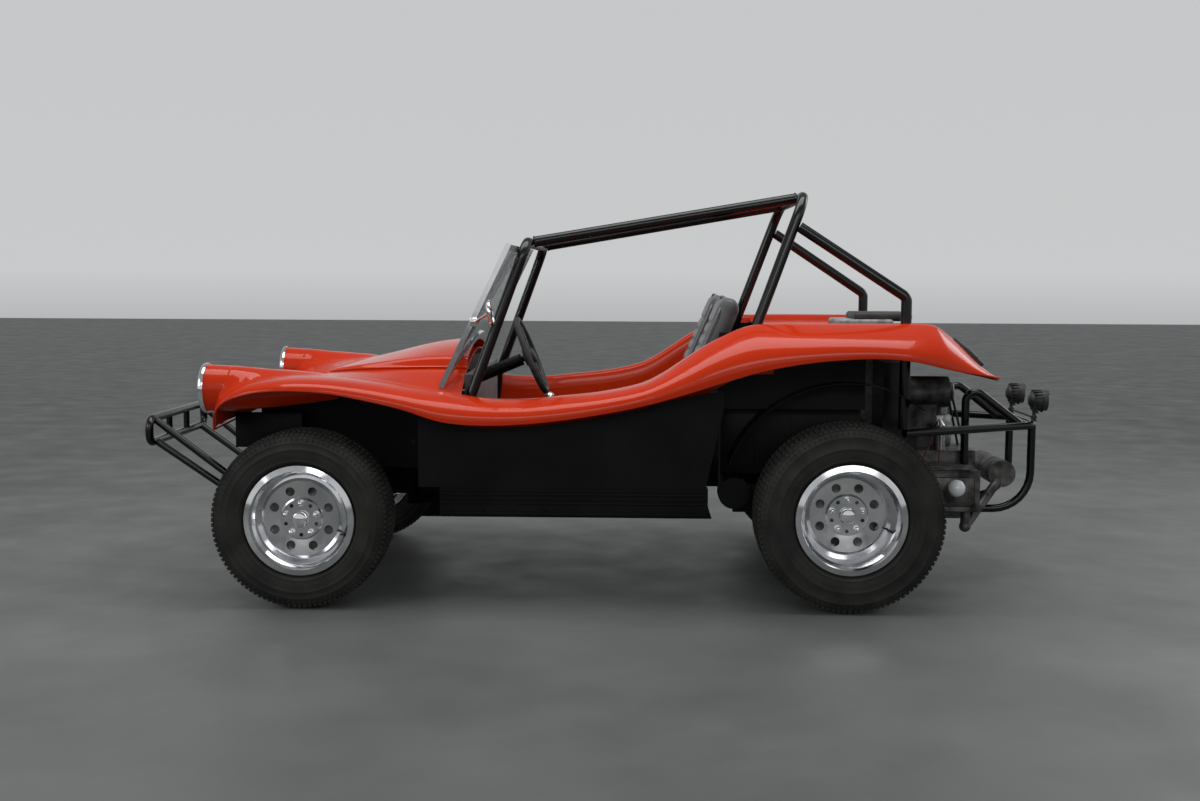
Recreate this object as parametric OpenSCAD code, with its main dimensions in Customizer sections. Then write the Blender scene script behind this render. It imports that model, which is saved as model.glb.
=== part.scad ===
// Short-wheelbase fibreglass dune buggy on a rear-engined floor pan.
// Millimetres, +X forward, +Y to the left, +Z up. The origin is on the ground, midway between the
// front bumper and the rear lamps. Inside the modules, stations (x) are counted from the front axle,
// so everything behind it is negative, and at_axle() shifts a finished piece into place.

/* [Wheelbase and track] */
// Distance between the front and rear axles
wheelbase = 2032; // [1950:1:2400]
// Front axle to the face of the front bumper
front_reach = 716; // [650:1:800]
// Rear axle to the back of the rear spot lamps
rear_reach = 870; // [820:1:1000]
// Centre plane of the car to the outer face of each tyre
half_track_outer = 800; // [770:1:850]

/* [Wheels] */
// Outer diameter of a front tyre
front_tyre_d = 663; // [620:1:690]
// Section width of a front tyre
front_tyre_w = 235; // [205:1:245]
// Outer diameter of a rear tyre
rear_tyre_d = 700; // [660:1:730]
// Section width of a rear tyre
rear_tyre_w = 275; // [245:1:290]
// Diameter of the rim over its bead seats
bead_d = 380; // [356:1:406]
// Diameter of the rim over its flanges
flange_d = 415; // [400:1:430]
// Depth of the front wheel centre behind the rim's edge
front_dish = 45; // [30:1:60]
// Depth of the rear wheel centre behind the rim's edge
rear_dish = 120; // [80:1:130]
// Diameter of the eight round holes in each wheel centre
wheel_hole_d = 34; // [28:1:38]
// Radius of the circle that the eight holes stand on
wheel_hole_r = 109; // [105:1:114]
// Radius of the wheel stud circle
stud_circle_r = 60; // [55:1:66]
// Diameter of a brake drum
drum_d = 250; // [230:1:264]

/* [Body] */
// Thickness of the fibreglass
skin = 6; // [4:0.5:8]
// Height of the rails beside the rear deck
rear_rail_z = 1058; // [1020:1:1090]
// Half width of the cockpit opening
cockpit_half = 560; // [540:1:580]
// Diameter of a headlamp over its rim
headlamp_d = 190; // [170:1:200]
// Half distance between the headlamps
headlamp_y = 600; // [570:1:610]

/* [Tubes] */
// Diameter of the roll cage tubes
cage_d = 38; // [34:1:44]
// Diameter of the bumper tubes
bumper_d = 32; // [28:1:38]
// Height of the roll hoop over its top
hoop_top_z = 1562; // [1450:1:1650]
// Half width of the roll cage at its feet
cage_half = 500; // [470:1:515]

/* [Windshield] */
// Half width of the windshield frame
shield_half = 580; // [540:1:590]
// Length of the windshield up its slope
shield_len = 610; // [560:1:640]
// Lean of the windshield from upright
shield_lean = 25.5; // [22:0.5:30]
// Thickness of the windshield glass
glass_t = 6; // [5:0.5:8]

/* [Steering] */
// Centre plane of the car to each kingpin
kingpin_y = 600; // [590:1:610]
// Length of the steering arms behind the kingpins
steer_arm = 115; // [100:1:120]
// Diameter of the steering wheel over its rim
wheel_rim_d = 330; // [300:1:360]
// Centre plane of the car to the steering wheel's centre
column_y = 265; // [262:1:270]

/* [Hidden] */
$fn = 64;

front_axle_x = (wheelbase + rear_reach - front_reach) / 2;
front_hub_z = front_tyre_d / 2;
rear_hub_z = rear_tyre_d / 2;
rear_x = -wheelbase;

// ---- helpers ----

module at_axle() translate([front_axle_x, 0, 0]) children();

module both_sides() {
    children();
    mirror([0, 1, 0]) children();
}

// Turns a shape's +Z axis to lie along +Y
module axis_y() rotate([-90, 0, 0]) children();

function unit(v) = v / norm(v);
function mix(a, b, t) = a + (b - a) * t;

// Rod of diameter d from point p to point q
module rod(p, q, d) {
    v = q - p;
    translate(p)
        rotate([0, acos(v[2] / norm(v)), atan2(v[1], v[0])])
            cylinder(h = norm(v), d = d);
}

// Points of the rounded corner, of radius r, at point i of route p
corner_steps = 5;
function corner(p, i, r) =
    let (
        u = unit(p[i - 1] - p[i]),
        w = unit(p[i + 1] - p[i]),
        half = acos(u * w) / 2,
        c = p[i] + unit(u + w) * r / sin(half),
        a = p[i] + u * r / tan(half) - c,
        b = p[i] + w * r / tan(half) - c,
        turn = 180 - 2 * half
    )
    [for (k = [0 : corner_steps])
        let (t = k / corner_steps * turn)
        c + (a * sin(turn - t) + b * sin(t)) / sin(turn)];
function rounded_route(p, r) = concat(
    [p[0]],
    [for (i = [1 : 1 : len(p) - 2]) each corner(p, i, r)],
    [p[len(p) - 1]]
);

// Bent tube of diameter d along the flat route p, with corners of radius r
tube_sides = 16;
module bent_tube(p, r, d) {
    q = rounded_route(p, r);
    last = len(q) - 1;
    n = unit(cross(p[1] - p[0], p[2] - p[1]));
    rings = [for (i = [0 : last])
        let (
            t = unit(q[min(i + 1, last)] - q[max(i - 1, 0)]),
            side = cross(n, t)
        )
        for (k = [0 : tube_sides - 1])
            let (a = 360 * k / tube_sides)
            q[i] + (side * cos(a) + n * sin(a)) * d / 2];
    around = [for (k = [0 : tube_sides - 1]) [k, (k + 1) % tube_sides]];
    polyhedron(rings, concat(
        [[for (k = [0 : tube_sides - 1]) k]],
        [for (i = [0 : last - 1]) for (e = around)
            [e[1] + i * tube_sides, e[0] + i * tube_sides,
             e[0] + (i + 1) * tube_sides, e[1] + (i + 1) * tube_sides]],
        [[for (k = [tube_sides - 1 : -1 : 0]) k + last * tube_sides]]
    ), convexity = 6);
}

// Smooth curve through a list of points whose stations (column 0) fall, read at station x
function seg(p, x) = max([0, for (i = [0 : len(p) - 2]) if (x <= p[i][0]) i]);
function gradient(p, i, k) =
    i == 0 ? (p[1][k] - p[0][k]) / (p[1][0] - p[0][0])
    : i == len(p) - 1 ? (p[i][k] - p[i - 1][k]) / (p[i][0] - p[i - 1][0])
    : (p[i + 1][k] - p[i - 1][k]) / (p[i + 1][0] - p[i - 1][0]);
function smooth(p, x, k) =
    let (i = seg(p, x), h = p[i + 1][0] - p[i][0], t = (x - p[i][0]) / h)
    (2 * pow(t, 3) - 3 * t * t + 1) * p[i][k]
    + (pow(t, 3) - 2 * t * t + t) * h * gradient(p, i, k)
    + (3 * t * t - 2 * pow(t, 3)) * p[i + 1][k]
    + (pow(t, 3) - t * t) * h * gradient(p, i + 1, k);
function on_line(p, x) = [x, smooth(p, x, 1), smooth(p, x, 2)];

// Point at t on the quadratic arc from a to c drawn towards b
function arc3(a, b, c, t) = a * (1 - t) * (1 - t) + b * 2 * t * (1 - t) + c * t * t;
function arc_points(a, b, c, n) = [for (i = [0 : n]) arc3(a, b, c, i / n)];
function drop_first(p) = [for (i = [1 : len(p) - 1]) p[i]];
function mirrored(p) = [for (i = [len(p) - 1 : -1 : 0]) [p[i][0], -p[i][1], p[i][2]]];

// Outward normal of grid g at row i, column j
function grid_normal(g, i, j) =
    let (
        rows = len(g) - 1,
        cols = len(g[0]) - 1,
        u = g[min(i + 1, rows)][j] - g[max(i - 1, 0)][j],
        v = g[i][min(j + 1, cols)] - g[i][max(j - 1, 0)]
    )
    unit(cross(u, v));

// Sheet of thickness t, sunk by inset under the grid g, whose rows run across the car from the left
module sheet(g, t, inset = 0) {
    rows = len(g);
    cols = len(g[0]);
    n = rows * cols;
    function sunk(depth) =
        [for (i = [0 : rows - 1]) for (j = [0 : cols - 1]) g[i][j] - grid_normal(g, i, j) * depth];
    top = sunk(inset);
    under = sunk(inset + t);
    function id(i, j) = i * cols + j;
    quads = [for (i = [0 : rows - 2]) for (j = [0 : cols - 2])
        [id(i, j), id(i, j + 1), id(i + 1, j + 1), id(i + 1, j)]];
    upper = [for (q = quads) each [[q[0], q[1], q[2]], [q[0], q[2], q[3]]]];
    lower = [for (q = quads) each [[q[2] + n, q[1] + n, q[0] + n], [q[3] + n, q[2] + n, q[0] + n]]];
    rim = concat(
        [for (j = [0 : cols - 2]) [id(0, j), id(0, j + 1)]],
        [for (i = [0 : rows - 2]) [id(i, cols - 1), id(i + 1, cols - 1)]],
        [for (j = [cols - 1 : -1 : 1]) [id(rows - 1, j), id(rows - 1, j - 1)]],
        [for (i = [rows - 1 : -1 : 1]) [id(i, 0), id(i - 1, 0)]]
    );
    edge = [for (e = rim) each [[e[1] + n, e[1], e[0]], [e[0] + n, e[1] + n, e[0]]]];
    polyhedron(concat(top, under), concat(upper, lower, edge), convexity = 8);
}

// ---- body lines: [station, half width, height] ----

// Lower edge of the fenders and sides
lip_line = [
    [352, 640, 650], [335, 690, 705], [300, 725, 752], [220, 755, 788], [130, 775, 806],
    [20, 785, 811], [-110, 785, 803], [-250, 775, 777], [-380, 755, 744], [-520, 730, 697],
    [-660, 715, 683], [-810, 710, 687], [-960, 710, 703], [-1110, 715, 727], [-1260, 722, 758],
    [-1400, 735, 798], [-1550, 752, 847], [-1700, 768, 893], [-1850, 778, 923],
    [-2000, 782, 939], [-2130, 780, 943], [-2250, 772, 933], [-2350, 755, 911],
    [-2430, 735, 893], [-2510, 712, 880], [-2575, 690, 866]
];
// Corner that the side surface is drawn towards
shoulder_line = [
    [352, 650, 668], [335, 690, 745], [300, 722, 800], [220, 752, 842], [130, 772, 857],
    [20, 785, 866], [-110, 788, 862], [-250, 780, 842], [-380, 765, 812], [-520, 742, 778],
    [-660, 728, 758], [-810, 722, 756], [-960, 722, 768], [-1110, 728, 790],
    [-1260, 738, 822], [-1400, 754, 882], [-1550, 772, 952], [-1700, 786, 992],
    [-1850, 794, 1006], [-2000, 796, 1012], [-2130, 792, 1010], [-2250, 782, 1000],
    [-2350, 764, 984], [-2430, 742, 945], [-2510, 718, 900], [-2575, 694, 870]
];
// Crest of the fenders, and the rail beside the cockpit and the deck
crest_line = [
    [352, 520, 672], [335, 500, 752], [300, 500, 800], [220, 520, 836], [130, 540, 852],
    [20, 555, 858], [-110, 565, 852], [-250, 572, 838], [-380, 580, 818], [-520, 590, 796],
    [-660, 600, 774], [-810, 600, 770], [-960, 600, 784], [-1110, 602, 801],
    [-1260, 605, 834], [-1335, 605, 870], [-1410, 605, 919], [-1480, 606, 966],
    [-1555, 608, 1008], [-1630, 610, 1042], [-1705, 610, rear_rail_z],
    [-2200, 605, rear_rail_z + 4], [-2350, 595, rear_rail_z], [-2400, 588, 1028],
    [-2460, 580, 978], [-2510, 570, 930], [-2575, 560, 872]
];
// Height of the nose and scuttle over the centre plane, under the hood
centre_line = [
    [352, 0, 676], [335, 0, 726], [300, 0, 758], [220, 0, 782], [130, 0, 800], [50, 0, 816],
    [-80, 0, 862], [-250, 0, 893], [-460, 0, 926], [-640, 0, 940]
];

nose_x = 352;
dash_x = -580;
bulkhead_x = -1760;
tail_x = -2575;
side_points = 6;

function side_arc(x) =
    arc_points(on_line(lip_line, x), on_line(shoulder_line, x), on_line(crest_line, x), side_points);

// Across the nose and scuttle; one point of every row lies under the hood's edge
scuttle_pull = 0.55;
function scuttle_t(share) =
    let (a = 2 * scuttle_pull - 1, b = 1 - a)
    (sqrt(b * b + 4 * a * (1 - share)) - b) / (2 * a);
function scuttle_point(x, t) =
    let (c = on_line(crest_line, x), m = on_line(centre_line, x))
    arc3(c, [x, c[1] * scuttle_pull, mix(c[2], m[2], 0.95)], m, t);
function hood_edge_t(x) = scuttle_t(hood_half / smooth(crest_line, x, 1));
function under_hood(x) = [for (k = [0 : 3]) scuttle_point(x, mix(hood_edge_t(x), 1, k / 3))];
function scuttle_half(x) = concat(
    [scuttle_point(x, 0), scuttle_point(x, hood_edge_t(x) / 2)],
    under_hood(x)
);
function nose_section(x) =
    let (h = concat(side_arc(x), drop_first(scuttle_half(x))))
    concat(h, drop_first(mirrored(h)));

// Over the rail and down inside the cockpit
inner_drop = 190;
lap = 30;
lap_step = 1.5;
function rail_section(x) =
    let (c = on_line(crest_line, x), e = [x, cockpit_half, c[2] - 14])
    concat(
        side_arc(x),
        drop_first(arc_points(c, [x, mix(c[1], cockpit_half, 0.7), c[2] + 2], e, 3)),
        [[x, cockpit_half - 2, c[2] - 60], [x, cockpit_half - 6, c[2] - inner_drop]]
    );

// Over the rails and across the sunken deck and the tail
deck_drop = 26;
function deck_section(x) =
    let (
        c = on_line(crest_line, x),
        sink = deck_drop * min(1, max(0, (x - tail_x) / 150)),
        e = [x, c[1] - 70, c[2] - sink],
        half = concat(
            side_arc(x),
            drop_first(arc_points(c, [x, c[1] - 40, c[2] + 4], e, 3)),
            [for (k = [3 : -1 : 0]) [x, e[1] * k / 4, e[2]]]
        )
    )
    concat(half, drop_first(mirrored(half)));

function stations(a, b, n) = [for (i = [0 : n]) mix(a, b, i / n)];

// ---- body ----

lamp_x = 388;
lamp_z = 806;
pod_back = [-110, 575, 800];

// Tapered pod that carries a headlamp, grown by g and cut off at station front
pod_steps = 8;
module headlamp_pod(front, g) {
    for (i = [0 : pod_steps - 1])
        hull() {
            pod_ring(i == 0 ? front - lamp_x : 0, i / pod_steps, g);
            pod_ring(0, (i + 1) / pod_steps, g);
        }
}
pod_front_x = 374;
pod_taper = 52;
module pod_ring(shift, t, g) {
    c = [mix(pod_front_x, pod_back[0], t), mix(headlamp_y, pod_back[1], t), mix(lamp_z, pod_back[2], t)];
    r = headlamp_d / 2 - 7 - pod_taper * pow(t, 1.6) + g;
    translate([c[0] + shift, c[1], c[2]]) rotate([0, 90, 0]) cylinder(h = 1, r = r, $fn = 32);
}

hood_front_x = -40;
hood_half = 400;
opening_margin = 35;

module body_shell() {
    color("orangered") at_axle() {
        difference() {
            union() {
                sheet([for (x = concat([352, 349, 343, 335, 322], stations(300, dash_x, 17)))
                    nose_section(x)], skin);
                // the side rails lap under the nose and the deck
                both_sides()
                    sheet([for (x = stations(dash_x + lap, bulkhead_x - lap, 18)) rail_section(x)],
                        skin, lap_step);
                sheet([for (x = concat(stations(bulkhead_x, -2330, 9), stations(-2360, tail_x, 5)))
                    deck_section(x)], skin);
                both_sides() headlamp_pod(lamp_x, 0);
            }
            both_sides() headlamp_pod(lamp_x + 60, -skin);
            // opening under the hood
            translate([dash_x - 50, -hood_half + opening_margin, 840])
                cube([hood_front_x - dash_x, 2 * (hood_half - opening_margin), 200]);
            // engine opening in the deck
            translate([-2378, -170, 950]) cube([338, 340, 150]);
            // holes for the rear posts
            both_sides() translate([post_x, cage_half, 900]) cylinder(h = 300, d = cage_d + 1);
        }
    }
}

// The hood lies on the scuttle and rises towards the windshield
hood_gap = 0.6;
hood_rise = 26;
function hood_lift(x) =
    let (t = min(1, max(0, (hood_front_x - x) / 420)))
    hood_gap + skin + hood_rise * t * t * (3 - 2 * t);
function hood_row(x) =
    let (
        b = under_hood(x),
        lift = hood_lift(x),
        half = concat(
            [b[0] + [0, 0, hood_gap + skin], b[0] + [0, -10, mix(hood_gap + skin, lift, 0.7) + 1]],
            [for (k = [1 : 3]) b[k] + [0, 0, lift + 6]]
        )
    )
    concat(half, drop_first(mirrored(half)));
module hood()
    color("orangered") at_axle()
        sheet([for (x = stations(hood_front_x, dash_x, 14)) hood_row(x)], skin);

// Padded top panel behind the windshield
dash_t = 30;
dash_half = 490;
module dash_panel() {
    color("dimgray") at_axle()
        difference() {
            translate([dash_x - dash_t, -dash_half, 640]) cube([dash_t, 2 * dash_half, 215]);
            on_column() cylinder(h = 600, d = column_d + 1);
            }
}

// ---- tub ----

panel_t = 6;
seat_gap = 0.3;
panel_y = 622;
arch_wall_y = 340;
panel_rear_x = -1560;
arch_back_x = -425;
sill_top_z = 436;
sill_z = 322;
tunnel_h = 150;

// Black lower side of the body with the walls of the front wheel arch
module side_panel() {
    translate([0, panel_y, 0])
        rotate([90, 0, 0])
            linear_extrude(panel_t)
                polygon([
                    [arch_back_x, sill_top_z + seat_gap], [arch_back_x, 700], [-520, 676], [-660, 660], [-810, 664],
                    [-960, 680], [-1110, 704], [-1260, 735], [-1400, 775], [panel_rear_x - 12, 810],
                    [panel_rear_x - 12, 745], [panel_rear_x + 55, sill_top_z + seat_gap]
                ]);
    // back wall of the wheel arch
    translate([arch_back_x, arch_wall_y, sill_top_z + seat_gap])
        cube([panel_t, panel_y - arch_wall_y, 290]);
    // inner wall of the wheel arch
    translate([arch_back_x, arch_wall_y - panel_t, 470])
        cube([arch_front_x - arch_back_x, panel_t, 290]);
}
arch_front_x = 250;
module side_panel_left() color("black") at_axle() side_panel();
module side_panel_right() color("black") at_axle() mirror([0, 1, 0]) side_panel();

tub_half = 545;
tub_floor_z = 735;
tub_back_x = -2110;
bulkhead_low_z = sill_z + tunnel_h + seat_gap;
// Black shelf and walls of the body behind the seats, over the rear axle
module rear_tub() {
    color("black") at_axle() {
        difference() {
            translate([tub_back_x, -tub_half, tub_floor_z])
                cube([panel_rear_x + panel_t - tub_back_x, 2 * tub_half, 290]);
            translate([tub_back_x + panel_t, -tub_half + panel_t, tub_floor_z + panel_t])
                cube([panel_rear_x - tub_back_x + 1, 2 * tub_half - 2 * panel_t, 300]);
        }
        // bulkhead under the shelf
        translate([panel_rear_x, -tub_half, bulkhead_low_z])
            cube([panel_t, 2 * tub_half, tub_floor_z - bulkhead_low_z]);
        // side walls between the shelf and the side panels
        both_sides()
            translate([panel_rear_x, tub_half, sill_top_z]) cube([panel_t, panel_y - panel_t - tub_half, 320]);
    }
}

sill_w = 70;
sill_front_x = -500;
sill_rear_x = -1515;
module sills() {
    color("black") at_axle() both_sides() {
        difference() {
            translate([sill_rear_x, panel_y - sill_w, sill_z + 8])
                cube([sill_front_x - sill_rear_x, sill_w, sill_top_z - sill_z - 8]);
            translate([sill_rear_x - 1, panel_y - sill_w + 4, sill_z + 12])
                cube([sill_front_x - sill_rear_x + 2, sill_w - 8, sill_top_z - sill_z - 16]);
        }
        // ribs along the box
        for (z = [sill_top_z - 12, sill_z + 14])
            translate([sill_rear_x, panel_y, z]) cube([sill_front_x - sill_rear_x, 6, 8]);
    }
}

pan_t = 4;
pan_front_x = -330;
pan_rear_x = -1530;
tunnel_w = 130;
pan_nose_half = 330;
module floor_pan() {
    color("black") at_axle() difference() {
        union() {
            translate([pan_rear_x, -panel_y + 12, sill_z]) cube([arch_back_x - pan_rear_x, 2 * panel_y - 24, pan_t]);
            translate([arch_back_x, -pan_nose_half, sill_z]) cube([pan_front_x - arch_back_x, 2 * pan_nose_half, pan_t]);
            translate([pan_rear_x, -tunnel_w / 2, sill_z]) cube([pan_front_x - pan_rear_x + 160, tunnel_w, tunnel_h]);
            // toe board
            translate([pan_front_x - 4, -pan_nose_half, sill_z]) cube([4, 2 * pan_nose_half, 300]);
        }
        translate([pan_rear_x - 1, -tunnel_w / 2 + pan_t, sill_z - 1])
            cube([pan_front_x - pan_rear_x + 158, tunnel_w - 2 * pan_t, tunnel_h - pan_t + 1]);
    }
}

// ---- windshield ----

shield_foot = [-506, 0, 800];
frame_w = 24;
frame_d = 20;
crown = 197;
module on_shield() translate(shield_foot) rotate([0, -shield_lean, 0]) rotate([90, 0, 90]) children();
module shield_outline(inset) {
    difference() {
        translate([-shield_half + inset, inset]) square([2 * (shield_half - inset), shield_len - 2 * inset]);
        // the lower edge arches over the scuttle
        translate([0, crown - crown_r]) circle(r = crown_r + inset, $fn = 160);
    }
}
crown_r = (pow(shield_half + 12, 2) + crown * crown) / (2 * crown);
module windshield_frame() {
    color("silver") at_axle() on_shield()
        difference() {
            linear_extrude(frame_d) shield_outline(0);
            translate([0, 0, -1]) linear_extrude(frame_d + 2) shield_outline(frame_w);
        }
}
glass_gap = 0.3;
module windshield_glass() {
    color("lightcyan", 0.4) at_axle() on_shield()
        translate([0, 0, (frame_d - glass_t) / 2])
            linear_extrude(glass_t) shield_outline(frame_w + glass_gap);
}

// ---- cage ----

hoop_foot = [-1590, cage_half + 12, tub_floor_z + panel_t + seat_gap + 6.6];
hoop_head = [-1880, cage_half - 45, hoop_top_z - cage_d / 2];
front_foot = [-560, cage_half + 30, sill_z + pan_t + seat_gap + 3];
front_knee = [-612, cage_half + 30, 784];
front_head = [-822, cage_half + 10, 1362];
post_x = -2266;
post_top_z = 1160;
bumper_z = 640;
function flip(p) = [p[0], -p[1], p[2]];

module front_hoop() {
    color("black") at_axle()
        bent_tube([front_knee, front_head, flip(front_head), flip(front_knee)], 70, cage_d);
    color("black") at_axle() both_sides() {
        rod(front_foot, front_knee, cage_d);
        translate(front_knee) sphere(d = cage_d);
    }
}
module main_hoop() {
    color("black") at_axle()
        bent_tube([hoop_foot, hoop_head, flip(hoop_head), flip(hoop_foot)], 95, cage_d);
}
// Point on the line from a to b at height z
function at_height(a, b, z) = mix(a, b, (z - a[2]) / (b[2] - a[2]));
stay_top = at_height(hoop_foot, hoop_head, 1438);
stay_knee = [post_x, cage_half, post_top_z];
// how far the end of a tube that leans by 13 degrees stays off the hoop's middle
stay_back = 23.8;
rail_back = cage_d / 2 + seat_gap;
rail_front = [front_head[0], cage_half - 85, front_head[2]];
rail_rear = [hoop_head[0], cage_half - 160, hoop_head[2]];
// Roof rails, and the stays from the hoop down to the rear posts
module cage_braces() {
    color("black") at_axle() both_sides() {
        rod(rail_front + unit(rail_rear - rail_front) * (rail_back + 1),
            rail_rear - unit(rail_rear - rail_front) * (rail_back + 1), cage_d);
        bent_tube([stay_top + unit(stay_knee - stay_top) * stay_back, stay_knee,
            [post_x, cage_half, bumper_z + bumper_d / 2 + seat_gap]], 30, cage_d);
    }
}

// ---- bumpers ----

nerf_x = front_reach - bumper_d / 2;
nerf_half = 350;
nerf_top_z = 656;
nerf_low_z = 562;
module front_bumper() {
    color("black") at_axle() {
        for (z = [nerf_top_z, nerf_low_z])
            rod([nerf_x, -nerf_half, z], [nerf_x, nerf_half, z], bumper_d);
        both_sides() {
            rod([nerf_x, nerf_half, nerf_top_z], [nerf_x, nerf_half, nerf_low_z], bumper_d);
            translate([nerf_x, nerf_half, nerf_top_z]) sphere(d = bumper_d);
            translate([nerf_x, nerf_half, nerf_low_z]) sphere(d = bumper_d);
            rod([nerf_x, 110, nerf_top_z], [nerf_x, 110, nerf_low_z], bumper_d - 8);
            rod([nerf_x - 8, 300, nerf_top_z - 6], [beam_x + 50, 270, beam_low_z + 14], bumper_d - 4);
            rod([nerf_x - 8, 290, nerf_low_z], [beam_x + 66, 262, beam_low_z - 24], bumper_d - 4);
            // bracket on the lower beam tube
            translate([beam_x + beam_tube_d / 2 + 0.3, 250, beam_low_z - 40]) cube([80, 34, 70]);
        }
    }
}

cage_rear_x = -2856;
loop_y = 170;
loop_low_z = 297;
loop_front_x = -2180;
horn_z = 392;
module rear_bumper() {
    color("black") at_axle() {
        bent_tube([[post_x - 4, cage_half, bumper_z], [cage_rear_x, loop_y, bumper_z],
            [cage_rear_x, -loop_y, bumper_z], [post_x - 4, -cage_half, bumper_z]], 60, bumper_d);
        both_sides() {
            bent_tube([[cage_rear_x + 6, loop_y - 4, bumper_z - 3], [cage_rear_x + 6, loop_y - 4, loop_low_z],
                [loop_front_x, loop_y - 4, loop_low_z]], 150, bumper_d);
            rod([loop_front_x, loop_y - 4, loop_low_z - 20], [loop_front_x, loop_y - 4, horn_z - seat_gap], bumper_d + 8);
            bent_tube([[-2580, loop_y - 4, 476], [-2580, loop_y - 4, 815], [-2800, loop_y + 6, 643]],
                40, bumper_d);
        }
    }
}

// ---- lamps ----

module headlamp_shell() {
    translate([lamp_x, headlamp_y, lamp_z]) rotate([0, 90, 0]) {
        difference() {
            union() {
                translate([0, 0, -12.7]) cylinder(h = 20.7, d = headlamp_d);
                translate([0, 0, -60]) cylinder(h = 50, d = headlamp_d - 40);
            }
            translate([0, 0, -50]) cylinder(h = 80, d = headlamp_d - 50);
        }
    }
}
module headlamps() color("silver") at_axle() both_sides() headlamp_shell();
module headlamp_lenses() {
    color("white") at_axle() both_sides()
        translate([lamp_x - 40, headlamp_y, lamp_z]) rotate([0, 90, 0])
            cylinder(h = 52, d = headlamp_d - 51);
}
tail_slope = 41.7;
module tail_lamps() {
    color("maroon") at_axle() both_sides()
        translate([-2502, 500, 938]) rotate([0, -tail_slope, 0]) translate([-30, -80, 1]) cube([60, 160, 9]);
}
spot_d = 82;
module spot_lamps() {
    color("black") at_axle() both_sides() {
        translate([-rear_reach - wheelbase, loop_y, 742]) rotate([0, 90, 0]) {
            cylinder(h = 12, d = spot_d);
            translate([0, 0, 12]) cylinder(h = 30, d1 = spot_d - 6, d2 = spot_d - 30);
        }
        translate([cage_rear_x, loop_y, bumper_z + bumper_d / 2 + seat_gap]) cylinder(h = 30, d = 22);
        rod([cage_rear_x, loop_y, bumper_z + bumper_d / 2 + 20], [cage_rear_x - 12, loop_y, 716], 14);
    }
}
module side_mirror() {
    color("silver") at_axle() {
        translate([-700, 655, 1098]) rotate([0, -80, 0]) cylinder(h = 10, d = 96);
        rod([-700, 650, 1092], [-634, 584, 1062], 9);
        // clamp on the side of the windshield
        translate([-640, shield_half + seat_gap, 1044]) cube([26, 8, 34]);
    }
}

// ---- seats ----

seat_y = 290;
seat_w = 440;
module seat() {
    // base
    translate([-1400, seat_y - seat_w / 2, 440]) cube([430, seat_w, 110]);
    // backrest
    translate([-1365, seat_y - seat_w / 2 + 25, 550]) rotate([0, -23, 0])
        translate([-40, 0, 0]) cube([80, seat_w - 50, 660]);
}
module driver_seat() color("gray") at_axle() seat();
module passenger_seat() color("gray") at_axle() mirror([0, 1, 0]) seat();
module seat_frames() {
    color("black") at_axle() both_sides()
        for (y = [seat_y - 160, seat_y + 130])
            translate([-1380, y, sill_z + pan_t]) cube([380, 30, 440 - sill_z - pan_t]);
}

// ---- steering ----

column_lean = 22.4;
column_d = 48;
box_z = 420;
wheel_x = -822;
wheel_z = 917;
function column_z(x) = wheel_z - (x - wheel_x) * tan(column_lean);
module on_column() translate([wheel_x, column_y, wheel_z]) rotate([0, 90 + column_lean, 0]) children();
module steering_column() {
    color("black") at_axle() on_column() {
        translate([0, 0, 30]) cylinder(h = 830, d = 24);
        translate([0, 0, 40]) cylinder(h = 330, d = column_d);
    }
    // steering box, clamped to the upper beam tube
    color("black") at_axle() {
        translate([-60, column_y - 60, box_z]) cube([120, 84, 180]);
        translate([50, column_y - 50, beam_top_z - 20]) cube([beam_x - beam_tube_d / 2 - seat_gap - 50, 60, 40]);
        translate([40, column_y - 50, beam_top_z - 20]) cube([20, 60, 60]);
    }
}
grip_d = 24;
module steering_wheel() {
    color("black") at_axle() on_column() {
        rotate_extrude() translate([(wheel_rim_d - grip_d) / 2, 0]) circle(d = grip_d, $fn = 32);
        translate([0, 0, -3]) cylinder(h = 32.5, d = 70);
        for (a = [90, 210, 330]) rotate([0, 0, a])
            difference() {
                translate([20, -22, -2]) cube([wheel_rim_d / 2 - grip_d / 2 - 20, 44, 4]);
                for (r = [50, 78, 106]) translate([r, 0, -10]) cylinder(h = 20, d = 18);
            }
    }
}
module gear_lever() {
    color("black") at_axle() {
        translate([-800, 0, sill_z + tunnel_h + 0.3]) cylinder(h = 16, d = 70);
        rod([-800, 0, sill_z + tunnel_h + 14], [-872, 0, 716], 12);
        translate([-880, 0, 728]) sphere(d = 40);
        rod([-980, 40, sill_z + tunnel_h + 10], [-860, 40, 580], 18);
        translate([-990, 28, sill_z + tunnel_h + 0.3]) cube([50, 24, 20]);
    }
}

// ---- front suspension ----

beam_x = 155;
beam_tube_d = 60;
beam_half = 400;
beam_spread = 75;
beam_top_z = front_hub_z + beam_spread;
beam_low_z = front_hub_z - beam_spread;
arm_tip_d = 44;
module front_beam() {
    color("black") at_axle() {
        for (z = [beam_top_z, beam_low_z])
            rod([beam_x, -beam_half, z], [beam_x, beam_half, z], beam_tube_d);
        both_sides() {
            translate([beam_x - 8, 230, beam_low_z]) cube([16, 12, 2 * beam_spread]);
            translate([beam_x - 14, beam_half - 60, beam_low_z - 20]) cube([28, 14, 2 * beam_spread + 190]);
            // trailing arms
            for (z = [beam_top_z, beam_low_z])
                hull() {
                    translate([beam_x, beam_half, z]) axis_y() cylinder(h = 22, d = 56, $fn = 32);
                    translate([30, kingpin_y - 15, z - 14]) cylinder(h = 28, d = 30, $fn = 32);
                }
            for (z = [beam_top_z, beam_low_z])
                translate([0, kingpin_y, z - 14]) cylinder(h = 28, d = 40);
        }
    }
}

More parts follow.
